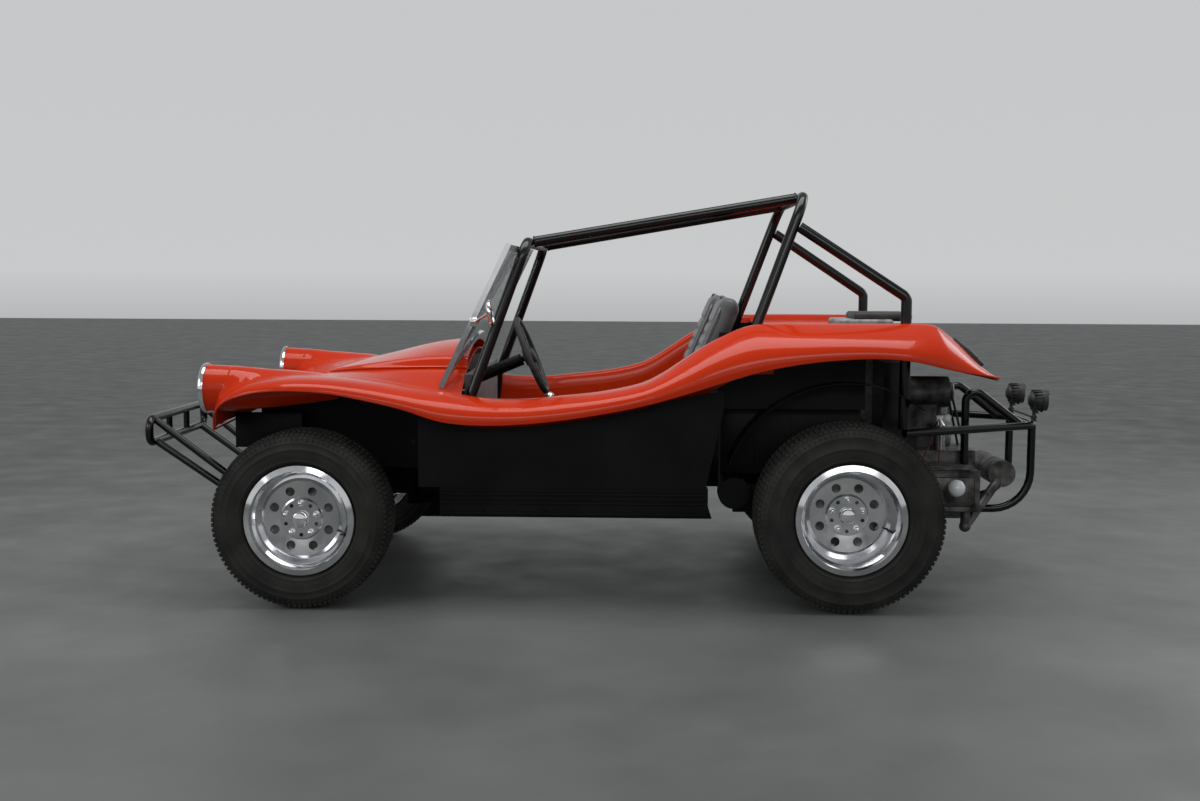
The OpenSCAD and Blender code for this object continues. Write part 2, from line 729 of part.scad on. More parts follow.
knuckle_gap = 0.5;
module knuckle() {
    // upright between the trailing arms
    translate([-18, kingpin_y - 18, beam_low_z + 14 + knuckle_gap])
        cube([24, 36, 2 * beam_spread - 28 - 2 * knuckle_gap]);
    // stub axle
    translate([0, kingpin_y + 10, front_hub_z]) axis_y() cylinder(h = 40, d = 46);
    translate([0, kingpin_y + 40, front_hub_z]) axis_y() cylinder(h = 70, d = 26);
    // brake backing plate
    translate([0, kingpin_y + 46, front_hub_z]) axis_y() cylinder(h = 5, d = drum_d - 12);
    // steering arm
    translate([-steer_arm - 12, kingpin_y - 14, front_hub_z + 20]) cube([steer_arm, 28, 18]);
}
module knuckle_left() color("dimgray") at_axle() knuckle();
module knuckle_right() color("dimgray") at_axle() mirror([0, 1, 0]) knuckle();

tie_d = 22;
rod_z = front_hub_z + 38 + tie_d / 2 + 0.5;
arm_z = rod_z + tie_d / 2 + 0.5;
pitman_x = 0;
pitman_y = column_y - 30;
module pitman_arm() {
    color("dimgray") at_axle() {
        translate([pitman_x, pitman_y, arm_z]) cylinder(h = box_z - seat_gap - arm_z, d = 30);
        translate([pitman_x - steer_arm - 12, pitman_y - 15, arm_z]) cube([steer_arm + 12, 30, 14]);
    }
}
module tie_rod_left() {
    color("dimgray") at_axle()
        rod([-steer_arm, pitman_y + 12, rod_z], [-steer_arm, kingpin_y, rod_z], tie_d);
}
module tie_rod_right() {
    color("dimgray") at_axle()
        rod([-steer_arm, pitman_y - 12, rod_z], [-steer_arm, -kingpin_y, rod_z], tie_d);
}

// ---- rear suspension and engine ----

torsion_x = rear_x + 415;
torsion_z = 412;
module torsion_housing() {
    color("black") at_axle() {
        rod([torsion_x, -498, torsion_z], [torsion_x, 498, torsion_z], 90);
        // end of the floor pan's tunnel
        translate([torsion_x + 20, -tunnel_w / 2, sill_z + 40])
            cube([pan_rear_x - seat_gap - torsion_x - 20, tunnel_w, tunnel_h - 40]);
        both_sides() {
            rod([torsion_x, 490, torsion_z], [torsion_x, 560, torsion_z], 120);
            // frame horn
            translate([rear_x - 230, 150, horn_z]) cube([torsion_x - rear_x + 200, 32, 60]);
            // spring plate
            translate([rear_x + 50 + seat_gap, 490, rear_hub_z - 20]) cube([torsion_x - rear_x - 50, 8, 90]);
        }
    }
}
module transaxle() {
    color("dimgray") at_axle() {
        translate([rear_x - 180 + seat_gap, -110, rear_hub_z - 110]) cube([310, 220, 230]);
        translate([rear_x + 130 - 1, -70, rear_hub_z - 60]) cube([238, 140, 140]);
        both_sides() {
            translate([rear_x, 90, rear_hub_z]) axis_y() cylinder(h = 410, d = 60);
            translate([rear_x, 499, rear_hub_z]) axis_y() cylinder(h = 141, d = 26);
            translate([rear_x, 480, rear_hub_z]) axis_y() cylinder(h = 30, d = 100);
            // brake backing plate
            translate([rear_x, 570, rear_hub_z]) axis_y() cylinder(h = 5, d = drum_d - 12);
            translate([rear_x, 505, rear_hub_z]) axis_y() cylinder(h = 66, d = 50);
        }
    }
}
engine_front_x = rear_x - 180;
case_top_z = rear_hub_z + 180;
head_low_z = rear_hub_z - 28;
muffler_x = -2735;
pipe_x = engine_front_x - 340;
module engine() {
    color("gray") at_axle() {
        translate([engine_front_x - 420, -140, rear_hub_z - 100]) cube([420, 280, 280]);
        both_sides()
            translate([engine_front_x - 380, 139, rear_hub_z - 28]) cube([330, 241, 150]);
        translate([engine_front_x - 450, 0, rear_hub_z]) rotate([0, 90, 0]) cylinder(h = 40, d = 170);
        // alternator and its stand
        translate([engine_front_x - 330, 0, 760]) rotate([0, 90, 0]) cylinder(h = 190, d = 130);
        translate([engine_front_x - 280, -40, case_top_z - 1]) cube([120, 80, 200]);
    }
}
module fan_shroud() {
    color("black") at_axle()
        translate([engine_front_x - 110, -300, case_top_z + seat_gap]) cube([100, 600, 370]);
}
// Filter box over the deck opening, on a riser from the engine case
module air_cleaner() {
    color("dimgray") at_axle() {
        translate([-2358, -150, 1036]) cube([298, 300, 6]);
        translate([-2277, -140, 1041]) cube([217, 280, 34]);
        translate([-2358, -110, 1074]) cube([219, 220, 30]);
        translate([-2340, -20, 1041]) cube([30, 40, 40]);
        translate([-2342, 0, 930]) cylinder(h = 110, d = 50);
        translate([-2346, -20, case_top_z + seat_gap]) cube([20, 40, 420]);
    }
}
module exhaust() {
    color("silver") at_axle() {
        rod([muffler_x, -170, 440], [muffler_x, 170, 440], 110);
        both_sides() {
            rod([pipe_x, 330, head_low_z - seat_gap], [pipe_x, 330, head_low_z - 70], 38);
            translate([pipe_x, 330, head_low_z - 70]) sphere(d = 46);
            rod([pipe_x, 330, head_low_z - 70], [muffler_x, 140, 420], 38);
        }
    }
}

// ---- wheels ----

// Rim of over-all width w with its wheel centre dished by dish; the outer edge is at +Z
module rim(w, dish) {
    seat = bead_d / 2;
    flange = flange_d / 2;
    difference() {
        union() {
            rotate_extrude($fn = 128) polygon([
                [seat - 6, 6], [flange - 3, 0], [flange, -3], [flange, -9], [seat + 4, -12], [seat, -16],
                [seat - 1, -45], [seat - 14, -58], [seat - 14, -w + 50], [seat - 1, -w + 40], [seat, -w + 16],
                [seat + 4, -w + 12], [flange, -w + 9], [flange, -w], [seat - 7, -w + 3],
                [seat - 20, -w + 40], [seat - 20, -30], [seat - 10, -18]
            ]);
            // wheel centre
            rotate_extrude($fn = 128) polygon([
                [22, -dish + 4], [74, -dish + 4], [80, -dish - 6], [140, -dish], [152, -dish - 8],
                [seat - 18, -dish - 12], [seat - 18, -dish - 26], [150, -dish - 26], [80, -dish - 24], [22, -dish - 24]
            ]);
            // centre cap
            translate([0, 0, -dish - 20]) cylinder(h = 38, d = 52);
        }
        for (a = [0 : 45 : 315])
            rotate([0, 0, a + 22.5]) translate([wheel_hole_r, 0, -dish - 60]) cylinder(h = 90, d = wheel_hole_d);
        for (a = [0 : 72 : 288])
            rotate([0, 0, a + 18]) translate([stud_circle_r, 0, -dish - 60]) cylinder(h = 90, d = 14);
    }
}
// Brake drum behind the wheel centre
module drum(dish) {
    translate([0, 0, -dish - 24 - 60])
        difference() {
            cylinder(h = 60, d = drum_d);
            translate([0, 0, -1]) cylinder(h = 49, d = drum_d - 16);
            cylinder(h = 200, d = 27, center = true);
        }
}
// Tyre of diameter d and width w, its outer face at +Z
module tyre(d, w, edge) {
    r = d / 2;
    seat = bead_d / 2 + seat_gap;
    half = [
        [seat, -edge - 18], [seat + 4, -edge - 13], [flange_d / 2 + 1.5, -edge - 10], [flange_d / 2 + 7, -edge],
        [flange_d / 2 + 20, -6], [flange_d / 2 + 36, -1], [flange_d / 2 + 50, 0], [r - 42, -4],
        [r - 16, -14], [r - 4, -26], [r, -44]
    ];
    other = [for (i = [len(half) - 1 : -1 : 0]) [half[i][0], -w - half[i][1]]];
    rotate_extrude($fn = 128) polygon(concat(half, other));
}
front_rim_w = 200;
rear_rim_w = 245;
front_edge = (front_tyre_w - front_rim_w) / 2;
rear_edge = (rear_tyre_w - rear_rim_w) / 2;
module front_wheel_at(side) {
    at_axle() mirror([0, side < 0 ? 1 : 0, 0])
        translate([0, half_track_outer, front_hub_z]) axis_y() children();
}
module rear_wheel_at(side) {
    at_axle() mirror([0, side < 0 ? 1 : 0, 0])
        translate([rear_x, half_track_outer, rear_hub_z]) axis_y() children();
}
module front_rim() {
    translate([0, 0, -front_edge]) {
        rim(front_rim_w, front_dish);
        drum(front_dish);
    }
}
module rear_rim() {
    translate([0, 0, -rear_edge]) {
        rim(rear_rim_w, rear_dish);
        drum(rear_dish);
    }
}
module rim_front_left() color("silver") front_wheel_at(1) front_rim();
module rim_front_right() color("silver") front_wheel_at(-1) front_rim();
module rim_rear_left() color("silver") rear_wheel_at(1) rear_rim();
module rim_rear_right() color("silver") rear_wheel_at(-1) rear_rim();
module tyre_front_left() color("black") front_wheel_at(1) tyre(front_tyre_d, front_tyre_w, front_edge);
module tyre_front_right() color("black") front_wheel_at(-1) tyre(front_tyre_d, front_tyre_w, front_edge);
module tyre_rear_left() color("black") rear_wheel_at(1) tyre(rear_tyre_d, rear_tyre_w, rear_edge);
module tyre_rear_right() color("black") rear_wheel_at(-1) tyre(rear_tyre_d, rear_tyre_w, rear_edge);

body_shell();
hood();
dash_panel();
side_panel_left();
side_panel_right();
rear_tub();
sills();
floor_pan();
windshield_frame();
windshield_glass();
front_hoop();
main_hoop();
cage_braces();
front_bumper();
rear_bumper();
headlamps();
headlamp_lenses();
tail_lamps();
spot_lamps();
side_mirror();
driver_seat();
passenger_seat();
seat_frames();
steering_column();
steering_wheel();
gear_lever();
front_beam();
knuckle_left();
knuckle_right();
pitman_arm();
tie_rod_left();
tie_rod_right();
torsion_housing();
transaxle();
engine();
fan_shroud();
air_cleaner();
exhaust();
rim_front_left();
rim_front_right();
rim_rear_left();
rim_rear_right();
tyre_front_left();
tyre_front_right();
tyre_rear_left();
tyre_rear_right();
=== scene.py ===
"""Looks of the dune buggy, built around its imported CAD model."""
import math

import bmesh
import bpy
from bpy.props import FloatProperty, FloatVectorProperty, IntProperty
from mathutils import Matrix, Vector


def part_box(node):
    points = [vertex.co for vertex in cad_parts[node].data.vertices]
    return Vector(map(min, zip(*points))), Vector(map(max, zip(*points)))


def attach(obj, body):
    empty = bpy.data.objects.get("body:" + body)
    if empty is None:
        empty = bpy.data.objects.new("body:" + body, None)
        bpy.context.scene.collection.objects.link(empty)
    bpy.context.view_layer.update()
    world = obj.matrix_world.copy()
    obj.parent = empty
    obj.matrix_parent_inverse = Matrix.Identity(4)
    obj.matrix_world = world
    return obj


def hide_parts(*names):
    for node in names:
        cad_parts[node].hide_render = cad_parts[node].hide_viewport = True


bl_info = {
    "name": "Dune buggy looks",
    "version": (1, 0, 0),
    "blender": (4, 5, 0),
    "location": "View3D > Sidebar > Buggy",
    "description": "Builds the visible pieces of a dune buggy around its frame",
    "category": "Object",
}

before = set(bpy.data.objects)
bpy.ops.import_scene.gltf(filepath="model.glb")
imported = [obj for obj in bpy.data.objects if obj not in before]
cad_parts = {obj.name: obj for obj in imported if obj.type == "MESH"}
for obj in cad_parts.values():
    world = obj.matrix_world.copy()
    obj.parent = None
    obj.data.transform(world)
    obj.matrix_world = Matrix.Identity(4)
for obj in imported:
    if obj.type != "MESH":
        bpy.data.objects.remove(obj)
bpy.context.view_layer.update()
MM = 0.001


def middle(node):
    low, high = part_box(node)
    return (Vector(low) + Vector(high)) / 2


def half_size(node):
    low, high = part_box(node)
    return (Vector(high) - Vector(low)) / 2


AXLE_X = middle("tyre_front_left").x
SIDES = (("left", 1), ("right", -1))
UP = Vector((0, 0, 1))


def at(x, y, z):
    """Point at station x counted from the front axle; millimetres to metres."""
    return Vector((AXLE_X + x * MM, y * MM, z * MM))


def mix(a, b, t):
    return a + (b - a) * t


def ease(t):
    t = min(1.0, max(0.0, t))
    return t * t * (3 - 2 * t)


# ---- shapes: every function gives (points, faces) ----


def lathe(profile, steps=64):
    """Turns (radius, height) pairs about +Z; a radius of 0 closes the pole."""
    points, faces, rings = [], [], []
    for radius, height in profile:
        if radius < 1e-7:
            rings.append([len(points)] * steps)
            points.append(Vector((0, 0, height)))
            continue
        rings.append(list(range(len(points), len(points) + steps)))
        for k in range(steps):
            a = math.tau * k / steps
            points.append(Vector((radius * math.cos(a), radius * math.sin(a), height)))
    for low, high in zip(rings, rings[1:]):
        for k in range(steps):
            n = (k + 1) % steps
            corners = list(dict.fromkeys((low[k], low[n], high[n], high[k])))
            if len(corners) > 2:
                faces.append(corners)
    return points, faces


def corner_arc(before, corner, after, radius, steps=8):
    u, w = (before - corner).normalized(), (after - corner).normalized()
    half = u.angle(w) / 2
    centre = corner + (u + w).normalized() * radius / math.sin(half)
    a = corner + u * radius / math.tan(half) - centre
    b = corner + w * radius / math.tan(half) - centre
    turn = math.pi - 2 * half
    return [centre + (a * math.sin(turn * (1 - k / steps)) + b * math.sin(turn * k / steps)) / math.sin(turn)
            for k in range(steps + 1)]


def rounded(route, radius):
    points = [route[0]]
    for before, corner, after in zip(route, route[1:], route[2:]):
        points += corner_arc(before, corner, after, radius)
    return points + [route[-1]]


def tube(route, radius, sides=24, closed=False):
    """Round tube along a route, with flat ends or closed in a ring."""
    count = len(route)
    points, faces = [], []
    tangents = []
    for i in range(count):
        before = route[(i - 1) % count] if closed or i else route[0]
        after = route[(i + 1) % count] if closed or i < count - 1 else route[-1]
        tangents.append((after - before).normalized())
    side = tangents[0].orthogonal().normalized()
    for i in range(count):
        side = (side - tangents[i] * side.dot(tangents[i])).normalized()
        up = tangents[i].cross(side)
        for k in range(sides):
            a = math.tau * k / sides
            points.append(route[i] + (side * math.cos(a) + up * math.sin(a)) * radius)
    last = count if closed else count - 1
    for i in range(last):
        j = (i + 1) % count
        for k in range(sides):
            n = (k + 1) % sides
            faces.append((i * sides + k, i * sides + n, j * sides + n, j * sides + k))
    if not closed:
        faces.append(tuple(range(sides - 1, -1, -1)))
        faces.append(tuple((count - 1) * sides + k for k in range(sides)))
    return points, faces


def block(low, high, bevel=0.0, segments=2):
    """Box with rounded edges."""
    bm = bmesh.new()
    size = [high[i] - low[i] for i in range(3)]
    bmesh.ops.create_cube(bm, size=1)
    for v in bm.verts:
        v.co = Vector((low[i] + (v.co[i] + 0.5) * size[i] for i in range(3)))
    if bevel:
        bmesh.ops.bevel(bm, geom=bm.edges[:], offset=bevel, segments=segments, affect="EDGES", profile=0.5)
    bm.verts.index_update()
    shape = [v.co.copy() for v in bm.verts], [[v.index for v in f.verts] for f in bm.faces]
    bm.free()
    return shape


def prism(outline, low, high):
    """Solid between two heights over a closed outline of (x, y) pairs."""
    n = len(outline)
    points = [Vector((x, y, z)) for z in (low, high) for x, y in outline]
    faces = [(k, (k + 1) % n, (k + 1) % n + n, k + n) for k in range(n)]
    return points, faces + [tuple(range(n - 1, -1, -1)), tuple(range(n, 2 * n))]


def sheet(rows):
    """Open surface through rows of points."""
    width = len(rows[0])
    points = [p for row in rows for p in row]
    faces = [(i * width + j, i * width + j + 1, (i + 1) * width + j + 1, (i + 1) * width + j)
             for i in range(len(rows) - 1) for j in range(width - 1)]
    return points, faces


def moved(shape, matrix):
    return [matrix @ p for p in shape[0]], shape[1]


def flipped(shape):
    return [Vector((p.x, -p.y, p.z)) for p in shape[0]], [tuple(reversed(f)) for f in shape[1]]


def joined(*shapes):
    points, faces = [], []
    for shape in shapes:
        start = len(points)
        points += shape[0]
        faces += [tuple(i + start for i in f) for f in shape[1]]
    return points, faces


def both(shape):
    return joined(shape, flipped(shape))


def axis_to(origin, direction, up=UP):
    """Matrix that puts +Z along a direction at an origin."""
    z = Vector(direction).normalized()
    x = up.cross(z)
    x = x.normalized() if x.length > 1e-6 else Vector((1, 0, 0))
    y = z.cross(x)
    return Matrix.Translation(Vector(origin)) @ Matrix((x, y, z)).transposed().to_4x4()


def piece(name, shape, material, body="chassis", replaces=(), sharp=38, wall=0.0):
    """Finished object from a shape: welded, pointing outwards, shaded and riding on its body."""
    mesh = bpy.data.meshes.new(name)
    mesh.from_pydata([tuple(p) for p in shape[0]], [], shape[1])
    bm = bmesh.new()
    bm.from_mesh(mesh)
    bmesh.ops.remove_doubles(bm, verts=bm.verts, dist=1e-5)
    bmesh.ops.recalc_face_normals(bm, faces=bm.faces)
    bm.to_mesh(mesh)
    bm.free()
    obj = bpy.data.objects.new(name, mesh)
    bpy.context.scene.collection.objects.link(obj)
    if wall:
        thick = obj.modifiers.new("Wall", "SOLIDIFY")
        thick.thickness = wall
        thick.offset = -1
        bake_modifiers(obj)
    finish_piece(obj, material, body, replaces, sharp)
    return obj


def finish_piece(obj, material, body="chassis", replaces=(), sharp=38):
    obj.data.materials.clear()
    obj.data.materials.append(material)
    obj.data.shade_smooth()
    if sharp:
        obj.data.set_sharp_from_angle(angle=math.radians(sharp))
    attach(obj, body)
    if replaces:
        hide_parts(*replaces)


def bake_modifiers(obj):
    """Turns the evaluated object into its own plain mesh."""
    graph = bpy.context.evaluated_depsgraph_get()
    mesh = bpy.data.meshes.new_from_object(obj.evaluated_get(graph))
    obj.modifiers.clear()
    obj.data = mesh


# ---- materials ----


class Surface:
    """A procedural material: base shader, colour variation, roughness variation and bump."""

    def __init__(self, name, **values):
        self.material = bpy.data.materials.new(name)
        self.material.use_nodes = True
        self.tree = self.material.node_tree
        self.shader = self.tree.nodes["Principled BSDF"]
        self.place = self.add("ShaderNodeTexCoord").outputs["Object"]
        self.normal = None
        for key, value in values.items():
            self.shader.inputs[key.replace("_", " ")].default_value = value

    def add(self, kind, **settings):
        node = self.tree.nodes.new(kind)
        for key, value in settings.items():
            setattr(node, key, value)
        return node

    def noise(self, scale, detail=4.0, stretch=None):
        node = self.add("ShaderNodeTexNoise")
        node.inputs["Scale"].default_value = scale
        node.inputs["Detail"].default_value = detail
        source = self.place
        if stretch:
            mapping = self.add("ShaderNodeMapping")
            mapping.inputs["Scale"].default_value = stretch
            self.tree.links.new(source, mapping.inputs["Vector"])
            source = mapping.outputs["Vector"]
        self.tree.links.new(source, node.inputs["Vector"])
        return node.outputs["Fac"]

    def cells(self, scale, feature="F1"):
        node = self.add("ShaderNodeTexVoronoi", feature=feature)
        node.inputs["Scale"].default_value = scale
        self.tree.links.new(self.place, node.inputs["Vector"])
        return node.outputs["Distance"]

    def bands(self, scale, direction):
        node = self.add("ShaderNodeTexWave", bands_direction=direction)
        node.inputs["Scale"].default_value = scale
        self.tree.links.new(self.place, node.inputs["Vector"])
        return node.outputs["Fac"]

    def colours(self, fac, low, high, start=0.35, end=0.65):
        ramp = self.add("ShaderNodeValToRGB")
        ramp.color_ramp.elements[0].position = start
        ramp.color_ramp.elements[1].position = end
        ramp.color_ramp.elements[0].color = (*low, 1)
        ramp.color_ramp.elements[1].color = (*high, 1)
        self.tree.links.new(fac, ramp.inputs["Fac"])
        self.tree.links.new(ramp.outputs["Color"], self.shader.inputs["Base Color"])
        return self

    def rough(self, fac, low, high):
        spread = self.add("ShaderNodeMapRange")
        spread.inputs["From Min"].default_value = 0.3
        spread.inputs["From Max"].default_value = 0.7
        spread.inputs["To Min"].default_value = low
        spread.inputs["To Max"].default_value = high
        self.tree.links.new(fac, spread.inputs["Value"])
        self.tree.links.new(spread.outputs["Result"], self.shader.inputs["Roughness"])
        return self

    def bump(self, fac, depth, strength=1.0):
        node = self.add("ShaderNodeBump")
        node.inputs["Strength"].default_value = strength
        node.inputs["Distance"].default_value = depth
        self.tree.links.new(fac, node.inputs["Height"])
        if self.normal:
            self.tree.links.new(self.normal, node.inputs["Normal"])
        self.normal = node.outputs["Normal"]
        self.tree.links.new(self.normal, self.shader.inputs["Normal"])
        return self


def shade(colour, factor):
    return tuple(min(1.0, c * factor) for c in colour)


def make_materials(look):
    """All finishes of the car, by name."""
    finishes = {}

    def keep(name, surface):
        finishes[name] = surface.material

    paint = tuple(look.paint)
    s = Surface("orange_gelcoat", Coat_Weight=0.32, Coat_Roughness=0.02, Specular_IOR_Level=0.12)
    s.colours(s.noise(1.6), shade(paint, 0.92), shade(paint, 1.06))
    s.rough(s.noise(9), 0.16, 0.24).bump(s.noise(260, 2), 0.00004, 0.4)
    keep("paint", s)

    black = tuple(look.black)
    s = Surface("satin_black", Specular_IOR_Level=0.12)
    s.colours(s.noise(5), shade(black, 0.6), shade(black, 1.2))
    s.rough(s.noise(9), 0.38, 0.50).bump(s.noise(420, 3), 0.00012, 0.5)
    keep("satin", s)

    s = Surface("gloss_black_tube", Specular_IOR_Level=0.45)
    s.colours(s.noise(5), shade(black, 0.4), shade(black, 0.8))
    s.rough(s.noise(7), 0.16, 0.24).bump(s.noise(160, 2), 0.00003, 0.3)
    keep("tube", s)

    s = Surface("chrome_plate", Metallic=1.0)
    s.colours(s.noise(6), (0.80, 0.81, 0.83), (0.90, 0.90, 0.91))
    s.rough(s.noise(30), 0.03, 0.10).bump(s.noise(120, 2), 0.00002, 0.3)
    keep("chrome", s)

    s = Surface("polished_alloy", Metallic=1.0)
    s.colours(s.noise(12), (0.62, 0.63, 0.65), (0.80, 0.80, 0.81))
    s.rough(s.noise(26), 0.06, 0.16).bump(s.noise(500, 2), 0.00003, 0.4)
    keep("alloy", s)

    s = Surface("cast_alloy", Metallic=0.85)
    s.colours(s.noise(18), (0.03, 0.029, 0.028), (0.16, 0.155, 0.15))
    s.rough(s.noise(26), 0.35, 0.65).bump(s.noise(260, 4), 0.0004, 0.6)
    keep("cast", s)

    s = Surface("clear_glass", Transmission_Weight=1.0, IOR=1.45, Base_Color=(0.93, 0.97, 0.96, 1))
    s.rough(s.noise(6), 0.0, 0.02)
    keep("glass", s)

    s = Surface("fluted_lens", Transmission_Weight=0.85, IOR=1.45, Base_Color=(0.95, 0.97, 1.0, 1))
    s.rough(s.noise(20), 0.02, 0.08).bump(s.bands(34, "Y"), 0.0012, 0.8).bump(s.bands(16, "Z"), 0.0010, 0.5)
    keep("lens", s)

    s = Surface("dark_red_lens", Coat_Weight=1.0, Coat_Roughness=0.05)
    s.colours(s.bands(60, "Y"), (0.02, 0.004, 0.004), (0.10, 0.008, 0.008))
    s.rough(s.noise(20), 0.12, 0.2).bump(s.bands(60, "Y"), 0.0008, 0.7)
    keep("red_lens", s)

    s = Surface("grained_plastic", Specular_IOR_Level=0.45)
    s.colours(s.noise(20), (0.012, 0.012, 0.013), (0.035, 0.035, 0.037))
    s.rough(s.noise(40), 0.4, 0.62).bump(s.cells(700), 0.0002, 0.5)
    keep("plastic", s)

    vinyl = tuple(look.vinyl)
    s = Surface("grey_vinyl", Specular_IOR_Level=0.45, Sheen_Weight=0.15)
    s.colours(s.noise(9), shade(vinyl, 0.78), shade(vinyl, 1.15))
    s.rough(s.noise(30), 0.38, 0.56).bump(s.cells(520), 0.00025, 0.6).bump(s.noise(24), 0.0012, 0.3)
    keep("vinyl", s)

    s = Surface("pale_piping", Specular_IOR_Level=0.4)
    s.colours(s.noise(40), shade(vinyl, 1.9), shade(vinyl, 2.4))
    s.rough(s.noise(60), 0.4, 0.55).bump(s.noise(900), 0.0002, 0.5)
    keep("piping", s)

    s = Surface("tyre_rubber", Specular_IOR_Level=0.22)
    s.colours(s.noise(11), (0.013, 0.0135, 0.012), (0.026, 0.026, 0.023))
    s.rough(s.noise(16), 0.55, 0.8).bump(s.noise(650, 3), 0.0002, 0.6)
    keep("rubber", s)

    s = Surface("zinc_bolt", Metallic=1.0)
    s.colours(s.noise(60), (0.38, 0.38, 0.40), (0.62, 0.62, 0.64))
    s.rough(s.noise(80), 0.25, 0.42).bump(s.noise(900), 0.0001, 0.4)
    keep("zinc", s)

    s = Surface("rust_red_enamel", Coat_Weight=0.3, Coat_Roughness=0.2)
    s.colours(s.noise(30), (0.05, 0.008, 0.004), (0.17, 0.022, 0.010))
    s.rough(s.noise(40), 0.3, 0.5).bump(s.noise(300), 0.0002, 0.5)
    keep("enamel", s)

    s = Surface("milk_white_glass", Coat_Weight=1.0, Coat_Roughness=0.06)
    s.colours(s.noise(14), (0.62, 0.64, 0.64), (0.78, 0.80, 0.80))
    s.rough(s.noise(20), 0.12, 0.2).bump(s.noise(60), 0.0002, 0.3)
    keep("white_glass", s)

    s = Surface("ribbed_grey_case")
    s.colours(s.noise(40), (0.17, 0.18, 0.175), (0.34, 0.35, 0.33))
    s.rough(s.noise(60), 0.55, 0.75).bump(s.noise(180, 3), 0.0004, 0.8)
    keep("case", s)

    s = Surface("floor_paint")
    s.colours(s.noise(1.2), (0.10, 0.108, 0.104), (0.135, 0.142, 0.137))
    s.rough(s.noise(4), 0.42, 0.55)
    keep("floor", s)
    return finishes


FINISH = {}


def dress(node, finish):
    """Gives a CAD node its finish."""
    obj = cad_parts[node]
    for slot in obj.material_slots:
        slot.material = FINISH[finish]


# ---- geometry nodes for what repeats ----


def row_tree(name, around, material):
    """Tree that repeats its own mesh around +Z or along a line."""
    tree = bpy.data.node_groups.new(name, "GeometryNodeTree")
    face = tree.interface
    face.new_socket(name="Geometry", in_out="OUTPUT", socket_type="NodeSocketGeometry")
    face.new_socket(name="Geometry", in_out="INPUT", socket_type="NodeSocketGeometry")
    face.new_socket(name="Count", in_out="INPUT", socket_type="NodeSocketInt")
    face.new_socket(name="Radius" if around else "Step", in_out="INPUT",
                    socket_type="NodeSocketFloat" if around else "NodeSocketVector")
    face.new_socket(name="Phase", in_out="INPUT", socket_type="NodeSocketFloat")
    nodes, links = tree.nodes, tree.links
    start, end = nodes.new("NodeGroupInput"), nodes.new("NodeGroupOutput")
    spread = nodes.new("GeometryNodeInstanceOnPoints")
    solid = nodes.new("GeometryNodeRealizeInstances")
    finish = nodes.new("GeometryNodeSetMaterial")
    finish.inputs["Material"].default_value = material
    links.new(start.outputs["Geometry"], spread.inputs["Instance"])
    if around:
        line = nodes.new("GeometryNodeMeshCircle")
        links.new(start.outputs["Count"], line.inputs["Vertices"])
        links.new(start.outputs["Radius"], line.inputs["Radius"])
        index = nodes.new("GeometryNodeInputIndex")
        share = nodes.new("ShaderNodeMath")
        share.operation = "DIVIDE"
        links.new(index.outputs["Index"], share.inputs[0])
        links.new(start.outputs["Count"], share.inputs[1])
        turn = nodes.new("ShaderNodeMath")
        turn.operation = "MULTIPLY"
        turn.inputs[1].default_value = math.tau
        links.new(share.outputs[0], turn.inputs[0])
        angles = nodes.new("ShaderNodeCombineXYZ")
        links.new(turn.outputs[0], angles.inputs["Z"])
        links.new(angles.outputs[0], spread.inputs["Rotation"])
        links.new(line.outputs["Mesh"], spread.inputs["Points"])
        twist = nodes.new("GeometryNodeTransform")
        phase = nodes.new("ShaderNodeCombineXYZ")
        links.new(start.outputs["Phase"], phase.inputs["Z"])
        links.new(phase.outputs[0], twist.inputs["Rotation"])
        links.new(spread.outputs["Instances"], solid.inputs["Geometry"])
        links.new(solid.outputs["Geometry"], twist.inputs["Geometry"])
        links.new(twist.outputs["Geometry"], finish.inputs["Geometry"])
    else:
        line = nodes.new("GeometryNodeMeshLine")
        links.new(start.outputs["Count"], line.inputs["Count"])
        links.new(start.outputs["Step"], line.inputs["Offset"])
        links.new(line.outputs["Mesh"], spread.inputs["Points"])
        links.new(spread.outputs["Instances"], solid.inputs["Geometry"])
        links.new(solid.outputs["Geometry"], finish.inputs["Geometry"])
    links.new(finish.outputs["Geometry"], end.inputs["Geometry"])
    return tree


def repeated(shape, material, count, radius=None, step=None, phase=0.0):
    """Shape repeated by Geometry Nodes, around +Z at a radius or along a step."""
    around = radius is not None
    mesh = bpy.data.meshes.new("row")
    mesh.from_pydata([tuple(p) for p in shape[0]], [], shape[1])
    obj = bpy.data.objects.new("row", mesh)
    bpy.context.scene.collection.objects.link(obj)
    tree = row_tree("Around an axle" if around else "Along a line", around, material)
    modifier = obj.modifiers.new("Row", "NODES")
    modifier.node_group = tree
    values = {"Count": count, "Phase": phase, "Radius": radius, "Step": step}
    for item in tree.interface.items_tree:
        if item.in_out == "INPUT" and values.get(item.name) is not None:
            modifier[item.identifier] = values[item.name]
    bake_modifiers(obj)
    result = [v.co.copy() for v in obj.data.vertices], [tuple(p.vertices) for p in obj.data.polygons]
    bpy.data.objects.remove(obj)
    bpy.data.node_groups.remove(tree)
    return result


def hex_bolt(radius, height):
    """Hexagon head with a washer, standing on z = 0."""
    corners = [(radius * math.cos(math.tau * k / 6), radius * math.sin(math.tau * k / 6)) for k in range(6)]
    head = prism(corners, 0.15 * height, height)
    washer = lathe([(0, 0), (radius * 1.35, 0), (radius * 1.35, 0.18 * height), (0, 0.18 * height)], 16)
    return joined(head, washer)


# ---- body skin ----

